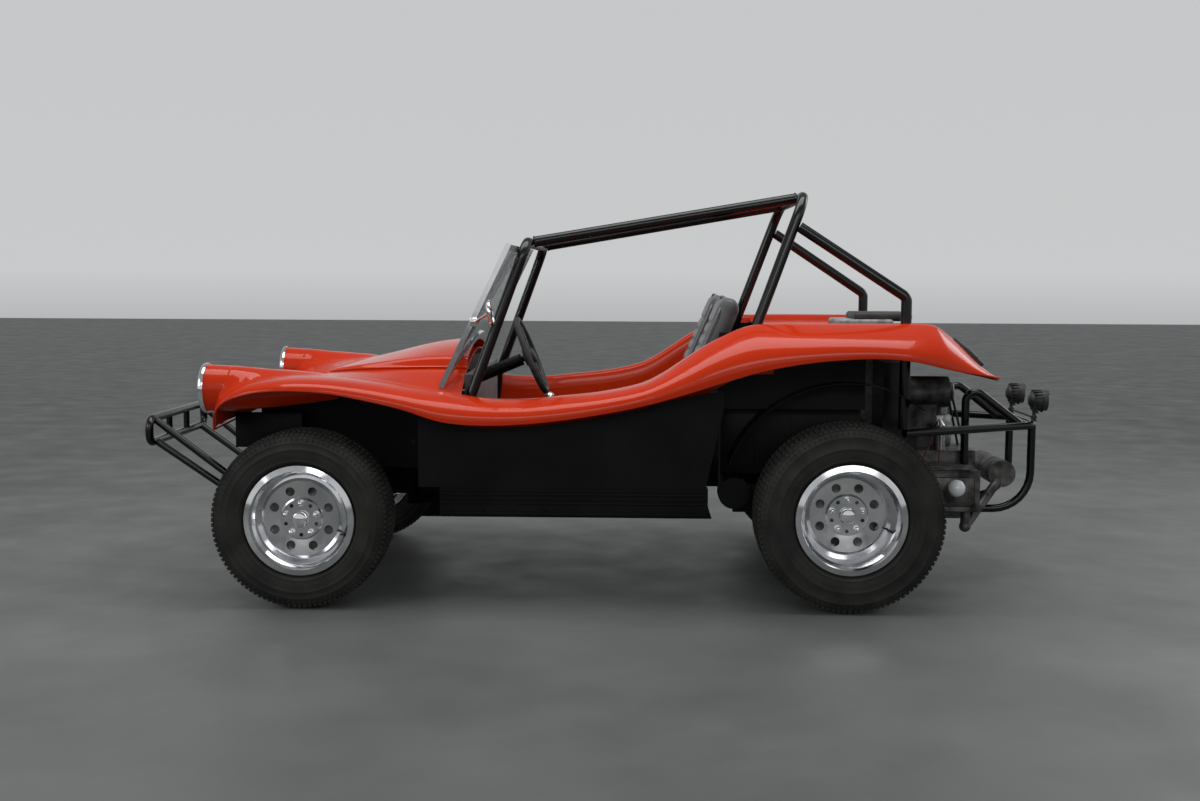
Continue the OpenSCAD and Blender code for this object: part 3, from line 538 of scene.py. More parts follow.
# Body lines as (station, half width, height) in millimetres
LIP = [
    (352, 640, 650), (335, 690, 705), (300, 725, 752), (220, 755, 788), (130, 775, 806),
    (20, 785, 811), (-110, 785, 803), (-250, 775, 777), (-380, 755, 744), (-520, 730, 697),
    (-660, 715, 683), (-810, 710, 687), (-960, 710, 703), (-1110, 715, 727), (-1260, 722, 758),
    (-1400, 735, 798), (-1550, 752, 847), (-1700, 768, 893), (-1850, 778, 923),
    (-2000, 782, 939), (-2130, 780, 943), (-2250, 772, 933), (-2350, 755, 911),
    (-2430, 735, 893), (-2510, 712, 880), (-2575, 690, 866),
]
SHOULDER = [
    (352, 650, 668), (335, 690, 745), (300, 722, 800), (220, 752, 842), (130, 772, 857),
    (20, 785, 866), (-110, 788, 862), (-250, 780, 842), (-380, 765, 812), (-520, 742, 778),
    (-660, 728, 758), (-810, 722, 756), (-960, 722, 768), (-1110, 728, 790),
    (-1260, 738, 822), (-1400, 754, 882), (-1550, 772, 952), (-1700, 786, 992),
    (-1850, 794, 1006), (-2000, 796, 1012), (-2130, 792, 1010), (-2250, 782, 1000),
    (-2350, 764, 984), (-2430, 742, 945), (-2510, 718, 900), (-2575, 694, 870),
]
CREST = [
    (352, 520, 672), (335, 500, 752), (300, 500, 800), (220, 520, 836), (130, 540, 852),
    (20, 555, 858), (-110, 565, 852), (-250, 572, 838), (-380, 580, 818), (-520, 590, 796),
    (-660, 600, 774), (-810, 600, 770), (-960, 600, 784), (-1110, 602, 801),
    (-1260, 605, 834), (-1335, 605, 870), (-1410, 605, 919), (-1480, 606, 966),
    (-1555, 608, 1008), (-1630, 610, 1042), (-1705, 610, 1058),
    (-2200, 605, 1062), (-2350, 595, 1058), (-2400, 588, 1028),
    (-2460, 580, 978), (-2510, 570, 930), (-2575, 560, 872),
]
CENTRE = [
    (352, 0, 676), (335, 0, 726), (300, 0, 758), (220, 0, 782), (130, 0, 800), (50, 0, 816),
    (-80, 0, 862), (-250, 0, 893), (-460, 0, 926), (-640, 0, 940),
]
NOSE_X, DASH_X, BULKHEAD_X, TAIL_X = 352, -580, -1760, -2575
COCKPIT_HALF = 560
HOOD_FRONT_X, HOOD_HALF = -40, 400
PULL = 0.55
LAMP = (388, 600, 806)
POD_FRONT, POD_BACK = Vector((374, 600, 806)), Vector((-110, 575, 800))


def on_line(line, x):
    """(half width, height) of a body line at station x, on a smooth curve."""
    i = max([0] + [k for k in range(len(line) - 1) if x <= line[k][0]])

    def slope(k, c):
        a, b = line[max(k - 1, 0)], line[min(k + 1, len(line) - 1)]
        return (b[c] - a[c]) / (b[0] - a[0])

    h = line[i + 1][0] - line[i][0]
    t = (x - line[i][0]) / h
    return tuple(
        (2 * t**3 - 3 * t * t + 1) * line[i][c] + (t**3 - 2 * t * t + t) * h * slope(i, c)
        + (3 * t * t - 2 * t**3) * line[i + 1][c] + (t**3 - t * t) * h * slope(i + 1, c)
        for c in (1, 2))


def arc3(a, b, c, t):
    return tuple(a[k] * (1 - t) ** 2 + b[k] * 2 * t * (1 - t) + c[k] * t * t for k in (0, 1))


def pod_radius(t):
    return 95 - 7 - 52 * max(t, 0) ** 1.6


def over_pod(x, y, z):
    """Height of the skin with a headlamp pod faired into it."""
    t = (POD_FRONT.x - x) / (POD_FRONT.x - POD_BACK.x)
    if t > 1 or x > 345:
        return z
    centre = POD_FRONT.lerp(POD_BACK, max(t, 0))
    r, off = pod_radius(t) + 1.5, abs(y - centre.y)
    top = centre.z + math.sqrt(r * r - off * off) if off < r else centre.z - (off - r) * 3
    top = mix(z, top, ease((345 - x) / 60)) if top > z else top
    blend = max(46 - abs(z - top), 0) / 46
    return max(z, top) + blend * blend * 46 / 4 * ease((345 - x) / 60) * ease((1.0 - t) * 5)


def scuttle_point(x, t):
    c, m = on_line(CREST, x), on_line(CENTRE, x)
    return arc3(c, (c[0] * PULL, mix(c[1], m[1], 0.95)), m, t)


def scuttle_t(x, y):
    a = 2 * PULL - 1
    b = 1 - a
    share = y / on_line(CREST, x)[0]
    return (math.sqrt(b * b + 4 * a * (1 - share)) - b) / (2 * a)


def side_row(x, n=16):
    a, b, c = on_line(LIP, x), on_line(SHOULDER, x), on_line(CREST, x)
    row = []
    for k in range(n + 1):
        y, z = arc3(a, b, c, k / n)
        row.append(at(x, y, over_pod(x, y, z)))
    return row


def scuttle_row(x, n=26):
    row = []
    for k in range(n + 1):
        y, z = scuttle_point(x, k / n)
        row.append(at(x, y, over_pod(x, y, z)))
    return row


def rail_row(x):
    c = on_line(CREST, x)
    end = (COCKPIT_HALF, c[1] - 14)
    row = [arc3(c, (mix(c[0], COCKPIT_HALF, 0.75), c[1] + 5), end, k / 8) for k in range(9)]
    row += [(COCKPIT_HALF - 2, c[1] - 60), (COCKPIT_HALF - 6, c[1] - 190)]
    return [at(x, y, z) for y, z in row]


def deck_row(x):
    c = on_line(CREST, x)
    sink = 26 * min(1, max(0, (x - TAIL_X) / 150))
    end = (c[0] - 70, c[1] - sink)
    row = [arc3(c, (c[0] - 40, c[1] + 6), end, k / 8) for k in range(9)]
    row += [(end[0] * (1 - k / 12), end[1]) for k in range(1, 13)]
    return [at(x, y, z) for y, z in row]


def spaced(a, b, n):
    return [mix(a, b, k / n) for k in range(n + 1)]


def merged_stations(*lists):
    return sorted({round(x, 3) for one in lists for x in one}, reverse=True)


DECK_HOLE = (-2378, -2040, 170)


def build_body(look):
    nose_x = merged_stations([352, 350, 347, 343, 338, 332, 325, 317, 308], spaced(300, DASH_X, 88))
    rail_x = spaced(DASH_X, BULKHEAD_X, 84)
    deck_x = merged_stations(spaced(BULKHEAD_X, TAIL_X, 60), DECK_HOLE[:2])
    all_x = merged_stations(nose_x, rail_x, deck_x)
    deck = sheet([deck_row(x) for x in deck_x])
    kept = []
    for f in deck[1]:
        c = sum((deck[0][i] for i in f), Vector()) / 4
        x, y = (c.x - AXLE_X) / MM, abs(c.y) / MM
        if not (DECK_HOLE[0] < x < DECK_HOLE[1] and y < DECK_HOLE[2]):
            kept.append(f)
    half = joined(
        sheet([side_row(x) for x in all_x]),
        sheet([scuttle_row(x) for x in nose_x]),
        sheet([rail_row(x) for x in rail_x]),
        (deck[0], kept),
    )
    piece("body_skin", both(half), FINISH["paint"], replaces=("body_shell",),
          sharp=50, wall=look.skin)
    # rolled edge along the lower lip, and the pods
    lip = tube([at(x, on_line(LIP, x)[0] - 4, on_line(LIP, x)[1] + 2) for x in all_x], 0.0045, 10)
    nose = tube([at(NOSE_X - 1, y, mix(676, 652, abs(y) / 640)) for y in spaced(640, -640, 40)], 0.0045, 10)
    piece("body_rolled_edge", joined(both(lip), nose), FINISH["paint"])
    rings = []
    for k in range(25):
        t = k / 24
        centre, r = POD_FRONT.lerp(POD_BACK, t), pod_radius(t)
        x = LAMP[0] - 2 if k == 0 else centre.x
        rings.append([at(x, centre.y + r * math.cos(a), centre.z + r * math.sin(a))
                      for a in (math.tau * j / 64 for j in range(65))])
    front = rings[0]
    middle_front = at(LAMP[0] - 2, LAMP[1], LAMP[2])
    inner = [middle_front + (p - middle_front) * 0.86 for p in front]
    piece("headlamp_pods", both(sheet([inner] + rings)), FINISH["paint"], sharp=50)
    inside = Vector((0, -0.007, -0.009))
    liner = sheet([[p + inside for p in side_row(x)[1:15]] for x in all_x if x < 330])
    piece("body_underside", both(liner), FINISH["satin"], sharp=50)
    build_hood()


def build_hood():
    edge = [0, 2, 5, 9, 14, 20, 28]
    rows = []
    for x in spaced(HOOD_FRONT_X, DASH_X, 50):
        rise = 26 * ease((HOOD_FRONT_X - x) / 420)
        row = []
        for inward in edge + spaced(40, HOOD_HALF, 24):
            y, z = scuttle_point(x, scuttle_t(x, HOOD_HALF - inward))
            front = ease((HOOD_FRONT_X - x + 4) / 20)
            row.append(at(x, y, z + 6.8 + (rise + 6) * ease(inward / 24) * mix(0.4, 1, front)))
        rows.append(row)
    piece("hood_skin", both(sheet(rows)), FINISH["paint"], replaces=("hood",),
          sharp=50, wall=0.006)


# ---- panels, dash and shield ----


def build_panels():
    for node in ("side_panel_left", "side_panel_right", "rear_tub", "sills", "floor_pan", "seat_frames"):
        dress(node, "satin")
    dress("dash_panel", "vinyl")
    bolt = moved(hex_bolt(0.006, 0.004), Matrix.Rotation(-math.pi / 2, 4, "X"))
    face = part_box("sills")[1][1]
    sill_low, sill_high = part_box("sills")
    length = sill_high[0] - sill_low[0]
    count = 9
    row = repeated(bolt, FINISH["zinc"], count, step=(length * 0.92 / (count - 1), 0, 0))
    low = moved(row, Matrix.Translation((sill_low[0] + 0.04 * length, face - 0.001, sill_low[2] + 0.018)))
    panel_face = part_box("side_panel_left")[1][1]
    single = moved(bolt, Matrix.Translation(at(-402, panel_face / MM, 610)))
    # The bolts are made with zinc but drawn in satin black: painted shade, standing for the shade they sit in
    # under the pan flange.
    piece("side_bolts", both(joined(low, single)), FINISH["satin"])
    ribs = [block((sill_low[0], face - 0.004, z), (sill_high[0], face + 0.002, z + 0.006), 0.0015)
            for z in (sill_low[2] + 0.045, sill_low[2] + 0.062, sill_low[2] + 0.079)]
    piece("sill_ribs", both(joined(*ribs)), FINISH["satin"])
    build_inner_fenders()


def build_inner_fenders():
    """Flat inner walls and a curved liner over each rear wheel."""
    wall = block(at(-2105, 478, 480), at(-1560, 484, 742), 0.002)
    seams = [block(at(x - 3, 484, 490), at(x + 3, 486, 736), 0.001) for x in (-1700, -1840, -1980)]
    rows = []
    for k in range(33):
        a = math.radians(mix(20, 128, k / 32))
        rows.append([at(-2032 + 470 * math.cos(a), y, 372 + 470 * math.sin(a)) for y in spaced(484, 640, 8)])
    liner = sheet(rows)
    front = block(at(60, 452, 562), at(322, 458, 700), 0.002)
    piece("inner_fender_walls", both(joined(wall, front, *seams)), FINISH["satin"])
    piece("rear_arch_liners", both(liner), FINISH["satin"], wall=0.003)


def build_shield():
    dress("windshield_frame", "chrome")
    dress("windshield_glass", "glass")


# ---- cage and bumpers ----


def build_cage(look):
    r = look.cage_tube / 2
    head_front, head_rear = at(-822, 510, 1362), at(-1880, 455, 1543)
    knee, foot = at(-612, 530, 784), at(-560, 530, 331)
    mirror = lambda p: Vector((p.x, -p.y, p.z))
    route = [foot, knee, head_front, mirror(head_front), mirror(knee), mirror(foot)]
    hoop = tube(rounded(route, 0.07), r, 32)
    piece("cage_front_hoop", hoop, FINISH["tube"], replaces=("front_hoop",))
    base = at(-1590, 512, 748)
    hoop = tube(rounded([base, head_rear, mirror(head_rear), mirror(base)], 0.095), r, 32)
    piece("cage_main_hoop", hoop, FINISH["tube"], replaces=("main_hoop",))
    rail_front, rail_rear = at(-822, 415, 1362), at(-1880, 340, 1543)
    top = base.lerp(head_rear, (1438 - 748) / (1543 - 748))
    post_knee, post_foot = at(-2266, 500, 1160), at(-2266, 500, 657)
    along = (rail_rear - rail_front).normalized()
    rail = tube([rail_front + along * (r + 0.001), rail_rear - along * (r + 0.001)], r, 32)
    stay = tube(rounded([top + (post_knee - top).normalized() * 0.022, post_knee, post_foot], 0.03), r, 32)
    bead = lathe([(r + 0.0001, -0.004), (r + 0.003, 0), (r + 0.0001, 0.004)], 32)
    welds = [moved(bead, axis_to(p, along))
             for p in (rail_front + along * (r + 0.003), rail_rear - along * (r + 0.003))]
    grommet = moved(lathe([(r, 0), (r + 0.012, 0), (r + 0.012, 0.004), (r + 0.002, 0.008), (r, 0.008)], 32),
                    Matrix.Translation(at(-2266, 500, 1036)))
    piece("cage_rails_and_stays", both(joined(rail, stay, *welds)), FINISH["tube"],
          replaces=("cage_braces",))
    piece("post_grommets", both(grommet), FINISH["plastic"])


def build_bumpers(look):
    r = look.bumper_tube / 2
    x = (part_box("front_bumper")[1][0] - AXLE_X) / MM - 16
    top, bottom, half = 656, 562, 350
    corners = [at(x, half, top), at(x, half, bottom), at(x, -half, bottom), at(x, -half, top)]
    ring = []
    for k in range(4):
        ring += corner_arc(corners[k - 1], corners[k], corners[(k + 1) % 4], 0.038, 8)
    shapes = [tube(ring, r, 24, closed=True)]
    for y in (110, -110):
        shapes.append(tube([at(x, y, top), at(x, y, bottom)], r * 0.8, 20))
    for y in (1, -1):
        shapes.append(tube([at(x - 8, 300 * y, top - 6), at(205, 270 * y, 270.5)], r * 0.9, 20))
        shapes.append(tube([at(x - 8, 290 * y, bottom), at(221, 262 * y, 232.5)], r * 0.9, 20))
        inner_y = 250 if y > 0 else -284
        shapes.append(block(at(185.5, inner_y, 217), at(265, inner_y + 34, 286), 0.002))
    piece("front_cage_bumper", joined(*shapes), FINISH["tube"],
          replaces=("front_bumper",))
    z, reach = 640, -2856
    bar = [at(-2270, 500, z), at(reach, 170, z), at(reach, -170, z), at(-2270, -500, z)]
    shapes = [tube(rounded(bar, 0.06), r)]
    for y in (1, -1):
        low_loop = [at(reach + 6, 166 * y, z), at(reach + 6, 166 * y, 297), at(-2180, 166 * y, 297)]
        high_loop = [at(-2580, 166 * y, 476), at(-2580, 166 * y, 815), at(-2800, 176 * y, 643)]
        shapes.append(tube(rounded(low_loop, 0.15), r))
        shapes.append(tube([at(-2180, 166 * y, 290), at(-2180, 166 * y, 391)], r * 1.2))
        shapes.append(tube(rounded(high_loop, 0.04), r))
    piece("rear_cage_bumper", joined(*shapes), FINISH["tube"], replaces=("rear_bumper",))


# ---- lamps and mirror ----


def build_lamps():
    centre = at(*LAMP)
    facing = axis_to(centre, (1, 0, 0))
    bezel = lathe([(0.070, -0.012), (0.094, -0.012), (0.0955, -0.006), (0.0945, 0.002), (0.091, 0.0065),
                   (0.086, 0.0075), (0.081, 0.005), (0.077, 0.0), (0.074, -0.003), (0.070, -0.004),
                   (0.070, -0.012)], 96)
    bowl = lathe([(0.073, -0.004), (0.060, -0.030), (0.036, -0.047), (0.016, -0.052), (0, -0.053)], 64)
    piece("headlamp_rings", both(moved(joined(bezel, bowl), facing)), FINISH["chrome"],
          replaces=("headlamps",))
    dome = [(0.0735 * math.cos(a), -0.003 + 0.013 * math.sin(a)) for a in spaced(0, math.pi / 2, 10)]
    inner = [(max(0, p[0] - 0.004 * (p[0] > 0.01)), p[1] - 0.004) for p in reversed(dome)]
    dome[-1], inner[0] = (0, dome[-1][1]), (0, inner[0][1])
    lens = lathe(dome + inner + [dome[0]], 64)
    piece("headlamp_glass", both(moved(lens, facing)), FINISH["lens"],
          replaces=("headlamp_lenses",))
    slope = Matrix.Rotation(math.radians(-41.7), 4, "Y")
    lamp = block((-0.045, -0.036, 0.002), (0.045, 0.036, 0.013), 0.004)
    bezel = block((-0.075, -0.042, -0.012), (0.075, 0.042, 0.007), 0.003)
    place = Matrix.Translation(at(-2488, 530, 957)) @ slope
    piece("tail_lamp_lenses", both(moved(lamp, place)), FINISH["red_lens"],
          replaces=("tail_lamps",))
    piece("tail_lamp_bezels", both(moved(bezel, place)), FINISH["plastic"])
    build_spot_lamps()
    build_mirror()


def build_spot_lamps():
    face_x, y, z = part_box("spot_lamps")[0][0], 0.170, 0.742
    facing = axis_to((face_x, y, z), (-1, 0, 0))
    bowl = lathe([(0, -0.070), (0.018, -0.069), (0.030, -0.060), (0.038, -0.040), (0.041, -0.018),
                  (0.0425, -0.002), (0.0425, 0.0), (0.038, 0.0), (0.0375, -0.003)], 48)
    fins = repeated(block((0, -0.0015, -0.056), (0.008, 0.0015, -0.020)), FINISH["plastic"], 18, radius=0.035)
    shaded = spaced(math.radians(35), math.radians(145), 20)
    visor = sheet([[Vector((0.0415 * math.cos(a), 0.0415 * math.sin(a), h)) for a in shaded]
                   for h in (-0.006, 0.006)])
    below = spaced(math.radians(-200), math.radians(20), 24)
    yoke = tube([Vector((0.045 * math.cos(a), 0.045 * math.sin(a), -0.018)) for a in below], 0.0035, 8)
    bumper_x = at(-2856, 0, 0).x
    post = lathe([(0, 0), (0.012, 0), (0.012, 0.006), (0.009, 0.009), (0.012, 0.012), (0.012, 0.022),
                  (0.007, 0.026), (0.007, 0.044), (0, 0.044)], 24)
    stalk = joined(
        moved(post, Matrix.Translation((bumper_x, y, 0.6563))),
        moved(hex_bolt(0.011, 0.008), Matrix.Translation((at(-2862, 0, 0).x, y, 0.690))))
    lamp = joined(moved(joined(bowl, fins, visor, yoke), facing), stalk)
    bar = tube([Vector((bumper_x, k, 0.672)) for k in (-y, y)], 0.004, 10)
    piece("spot_lamp_housings", joined(both(lamp), bar), FINISH["plastic"],
          replaces=("spot_lamps",))
    glass = lathe([(0.0375, -0.003), (0.020, -0.0015), (0, -0.001)], 40)
    piece("spot_lamp_glass", both(moved(glass, facing)), FINISH["lens"])


def build_mirror():
    centre = at(-700, 655, 1098)
    lean = Vector((-0.985, 0, 0.17))
    head = lathe([(0, 0.016), (0.020, 0.0155), (0.038, 0.012), (0.046, 0.006), (0.048, 0.0), (0.047, -0.003),
                  (0.044, -0.003), (0.043, -0.001), (0, -0.001)], 64)
    arm = tube(rounded([centre - lean * 0.012, at(-676, 640, 1086), at(-632, 585, 1062)], 0.012), 0.0045, 12)
    foot = block(at(-640, 580.3, 1044), at(-614, 588, 1078), 0.002)
    piece("round_mirror", joined(moved(head, axis_to(centre, -lean)), arm, foot), FINISH["chrome"],
          replaces=("side_mirror",))


# ---- seats ----


def pad_shape(width, length, thick, waist=0.0, rounding=0.03):
    """Block for one cushion lying on z = 0, narrower at its far end by waist."""
    points, faces = block((0, -width / 2, 0), (length, width / 2, thick), rounding, 4)
    return [Vector((p.x, p.y * (1 - waist * p.x / length), p.z)) for p in points], faces


def inflate(shape, voxel, cap, pressure=4.0):
    """Cushion swollen by a cloth simulation from a slightly smaller shape."""
    mesh = bpy.data.meshes.new("pad")
    mesh.from_pydata([tuple(p) for p in shape[0]], [], shape[1])
    obj = bpy.data.objects.new("pad", mesh)
    bpy.context.scene.collection.objects.link(obj)
    remesh = obj.modifiers.new("Voxels", "REMESH")
    remesh.mode = "VOXEL"
    remesh.voxel_size = voxel
    bake_modifiers(obj)
    start = [v.co.copy() for v in obj.data.vertices]
    cloth = obj.modifiers.new("Cloth", "CLOTH")
    cloth.settings.use_pressure = True
    cloth.settings.uniform_pressure_force = pressure
    cloth.settings.effector_weights.gravity = 0
    cloth.settings.quality = 5
    scene = bpy.context.scene
    for f in range(1, 21):
        scene.frame_set(f)
    bake_modifiers(obj)
    scene.frame_set(1)
    for v, p in zip(obj.data.vertices, start):
        shift = v.co - p
        if shift.length > cap:
            v.co = p + shift * cap / shift.length
    smooth = obj.modifiers.new("Smooth", "SMOOTH")
    smooth.iterations = 3
    bake_modifiers(obj)
    result = [v.co.copy() for v in obj.data.vertices], [tuple(p.vertices) for p in obj.data.polygons]
    bpy.data.objects.remove(obj)
    return result


def pleated(shape, low, high, top, pitch, depth):
    """Sewn channels across the middle of a pad's top."""
    for p in shape[0]:
        if p.z > top * 0.6 and low[0] < p.x < high[0] and low[1] < p.y < high[1]:
            groove = abs(math.sin(math.pi * (p.x - low[0]) / pitch))
            p.z -= depth * (1 - groove) ** 2
    return shape


def build_seats():
    seat_y, seat_w = middle("driver_seat").y, 2 * half_size("driver_seat").y
    base = pad_shape(seat_w - 0.03, 0.415, 0.098, 0.08, 0.032)
    base = pleated(inflate(base, 0.007, 0.010), (0.07, -0.13), (0.36, 0.13), 0.10, 0.048, 0.010)
    back = pad_shape(seat_w - 0.075, 0.64, 0.066, 0.14, 0.030)
    back = pleated(inflate(back, 0.007, 0.010), (0.06, -0.12), (0.52, 0.12), 0.07, 0.05, 0.010)
    base_at = Matrix.Translation(at(-1392, seat_y / MM, 446))
    lean = math.radians(23)
    back_at = Matrix.Translation(at(-1398, seat_y / MM, 556)) @ Matrix(
        ((-math.sin(lean), 0, math.cos(lean)), (0, 1, 0), (math.cos(lean), 0, math.sin(lean)))).to_4x4()
    pads = joined(moved(base, base_at), moved(back, back_at))
    rim_base = [Vector((x, y, 0.100)) for x, y in
                ((0.02, 0.185), (0.39, 0.172), (0.405, 0.15), (0.405, -0.15), (0.39, -0.172), (0.02, -0.185))]
    rim_back = [Vector((x, y, 0.064)) for x, y in
                ((0.03, 0.168), (0.56, 0.148), (0.625, 0.10), (0.625, -0.10), (0.56, -0.148), (0.03, -0.168))]
    piping = joined(moved(tube(rounded(rim_base, 0.02), 0.004, 8), base_at),
                    moved(tube(rounded(rim_back, 0.03), 0.004, 8), back_at))
    for node, turn in (("driver_seat", lambda s: s), ("passenger_seat", flipped)):
        cushion = piece(node + "_cushions", turn(pads), FINISH["vinyl"], replaces=(node,),
                        sharp=0)
        piece(node + "_piping", turn(piping), FINISH["piping"])


# ---- controls ----


def build_controls():
    for node in ("steering_column", "knuckle_left", "knuckle_right", "pitman_arm", "tie_rod_left",
                 "tie_rod_right", "front_beam", "torsion_housing"):
        dress(node, "satin")
    dress("steering_wheel", "plastic")
    dress("gear_lever", "chrome")
    column = Vector((0.92455, 0, -0.38107))
    hub = middle("steering_wheel")
    cap = lathe([(0, 0.012), (0.020, 0.011), (0.030, 0.006), (0.033, 0.0)], 40)
    screws = repeated(hex_bolt(0.004, 0.004), FINISH["zinc"], 6, radius=0.026)
    front = axis_to(hub - column * 0.004, -column)
    piece("steering_wheel_cap", moved(cap, front), FINISH["plastic"], body="steering_wheel")
    piece("steering_wheel_screws", moved(screws, front), FINISH["zinc"], body="steering_wheel")


# ---- engine ----


def build_engine():
    for node in ("engine", "transaxle"):
        dress(node, "cast")
    dress("fan_shroud", "tube")
    dress("exhaust", "cast")
    build_air_cleaner()
    fin = block((-0.006, 0, -0.006), (0.336, 0.003, 0.156), 0.0008, 1)
    fins = repeated(fin, FINISH["cast"], 20, step=(0, 0.0115, 0))
    x0 = at(-2592, 0, 0).x
    fins = moved(fins, Matrix.Translation((x0, 0.148, 0.322)))
    piece("cylinder_fins", both(fins), FINISH["cast"])
    cover = block((x0 + 0.02, 0.380, 0.340), (x0 + 0.31, 0.392, 0.455), 0.008)
    tins = block((x0 + 0.03, 0.150, 0.478), (x0 + 0.30, 0.36, 0.484), 0.002)
    piece("valve_covers", both(joined(cover, tins)), FINISH["cast"])
    low_pulley = lathe([(0, 0.004), (0.030, 0.004), (0.050, 0.002), (0.084, 0.004), (0.086, 0.0),
                        (0.076, -0.012), (0.086, -0.024), (0.0, -0.024)], 48)
    high_pulley = lathe([(0, 0.004), (0.034, 0.004), (0.040, 0.0), (0.032, -0.010), (0.040, -0.02),
                         (0, -0.02)], 40)
    pulleys = joined(moved(low_pulley, axis_to(at(-2662, 0, 350), (-1, 0, 0))),
                     moved(high_pulley, axis_to(at(-2560, 0, 760), (-1, 0, 0))))
    piece("pulleys", pulleys, FINISH["zinc"])
    belt_x = at(-2650, 0, 0).x
    top_x = at(-2550, 0, 0).x
    belt = tube([Vector((belt_x, 0.082, 0.35)), Vector((top_x, 0.036, 0.76)), Vector((top_x, 0, 0.797)),
                 Vector((top_x, -0.036, 0.76)), Vector((belt_x, -0.082, 0.35)), Vector((belt_x, 0, 0.268))],
                0.005, 8, closed=True)
    piece("fan_belt", belt, FINISH["rubber"])
    leads = []
    for k, y in enumerate((0.20, 0.30, -0.20, -0.30)):
        leads.append(tube(rounded([Vector((x0 + 0.12, 0.05 * (1 if y > 0 else -1), 0.60)),
                                   Vector((x0 + 0.1 + 0.02 * k, y * 0.6, 0.66)),
                                   Vector((x0 + 0.12 + 0.1 * (k % 2), y, 0.474))], 0.04), 0.0035, 8))
    piece("ignition_leads", joined(*leads), FINISH["enamel"])
    coil = moved(lathe([(0, 0), (0.024, 0), (0.024, 0.10), (0.016, 0.108), (0.008, 0.12), (0, 0.12)], 32),
                 Matrix.Translation((x0 + 0.10, 0.10, 0.531)))
    carb = joined(block((x0 + 0.02, -0.10, 0.531), (x0 + 0.09, -0.03, 0.66), 0.008),
                  moved(lathe([(0, 0), (0.03, 0), (0.034, 0.05), (0, 0.05)], 32),
                        Matrix.Translation((x0 + 0.055, -0.065, 0.66))))
    piece("coil_and_carburettor", joined(coil, carb), FINISH["zinc"])
    r = 0.03404
    ball = [(r * math.cos(a), r * math.sin(a)) for a in spaced(-math.pi / 2, math.pi / 2, 20)]
    ball[0], ball[-1] = (0, -r), (0, r)
    place = at(-2493, 425, 418)
    piece("reverse_lamp", moved(lathe(ball, 40), Matrix.Translation(place)), FINISH["white_glass"])
    piece("reverse_lamp_stem", tube([place, place - Vector((0, 0.045, 0))], 0.010, 16), FINISH["plastic"])


def build_air_cleaner():
    """Low ribbed case with a soft domed pad on it, over the hole in the deck."""
    low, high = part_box("air_cleaner")
    case = block((low[0] + 0.08, low[1] + 0.01, high[2] - 0.072),
                 (high[0], high[1] - 0.01, high[2] - 0.040), 0.010, 3)
    ribs = [block((x, low[1] + 0.006, high[2] - 0.066), (x + 0.006, high[1] - 0.006, high[2] - 0.046), 0.002)
            for x in spaced(low[0] + 0.09, high[0] - 0.02, 10)]
    pad = block((low[0], low[1] + 0.03, high[2] - 0.048),
                (high[0] - 0.07, high[1] - 0.03, high[2] - 0.012), 0.014, 4)
    riser = block((mix(low[0], high[0], 0.3), -0.05, low[2]),
                  (mix(low[0], high[0], 0.7), 0.05, high[2] - 0.05), 0.01)
    piece("air_cleaner_case", joined(case, riser, *ribs), FINISH["case"],
          replaces=("air_cleaner",))
    piece("air_cleaner_pad", pad, FINISH["plastic"])


# ---- wheels ----


def tread_blocks(radius, width, count):
    """Raised blocks in five rows around a tyre lying about +Z, its outer face at z = 0."""
    pitch = math.tau * radius / count
    shapes = []
    rows = ((-0.030, 0.034, 0.72, 0.0), (-width * 0.30, 0.026, 0.80, 0.35), (-width * 0.5, 0.030, 0.80, 0.0),
            (-width * 0.70, 0.026, 0.80, 0.35), (-width + 0.030, 0.034, 0.72, 0.0))
    for z, across, fill, slant in rows:
        half, reach = pitch * fill / 2, across / 2
        lean = slant * half
        low, high = -0.010, -0.0008
        corners = ((-half, -reach), (half, -reach), (half, reach), (-half, reach))
        base = [Vector((r, y * grow + lean * (h * grow / reach), z + h * grow))
                for r, grow in ((low, 1.0), (high, 0.9)) for y, h in corners]
        faces = [(0, 1, 5, 4), (1, 2, 6, 5), (2, 3, 7, 6), (3, 0, 4, 7), (4, 5, 6, 7), (3, 2, 1, 0)]
        drop = 0.006 if fill < 0.75 else 0.0
        base = [Vector((p.x - drop, p.y, p.z)) for p in base]
        shapes.append(repeated((base, faces), FINISH["rubber"], count, radius=radius))
    return joined(*shapes)


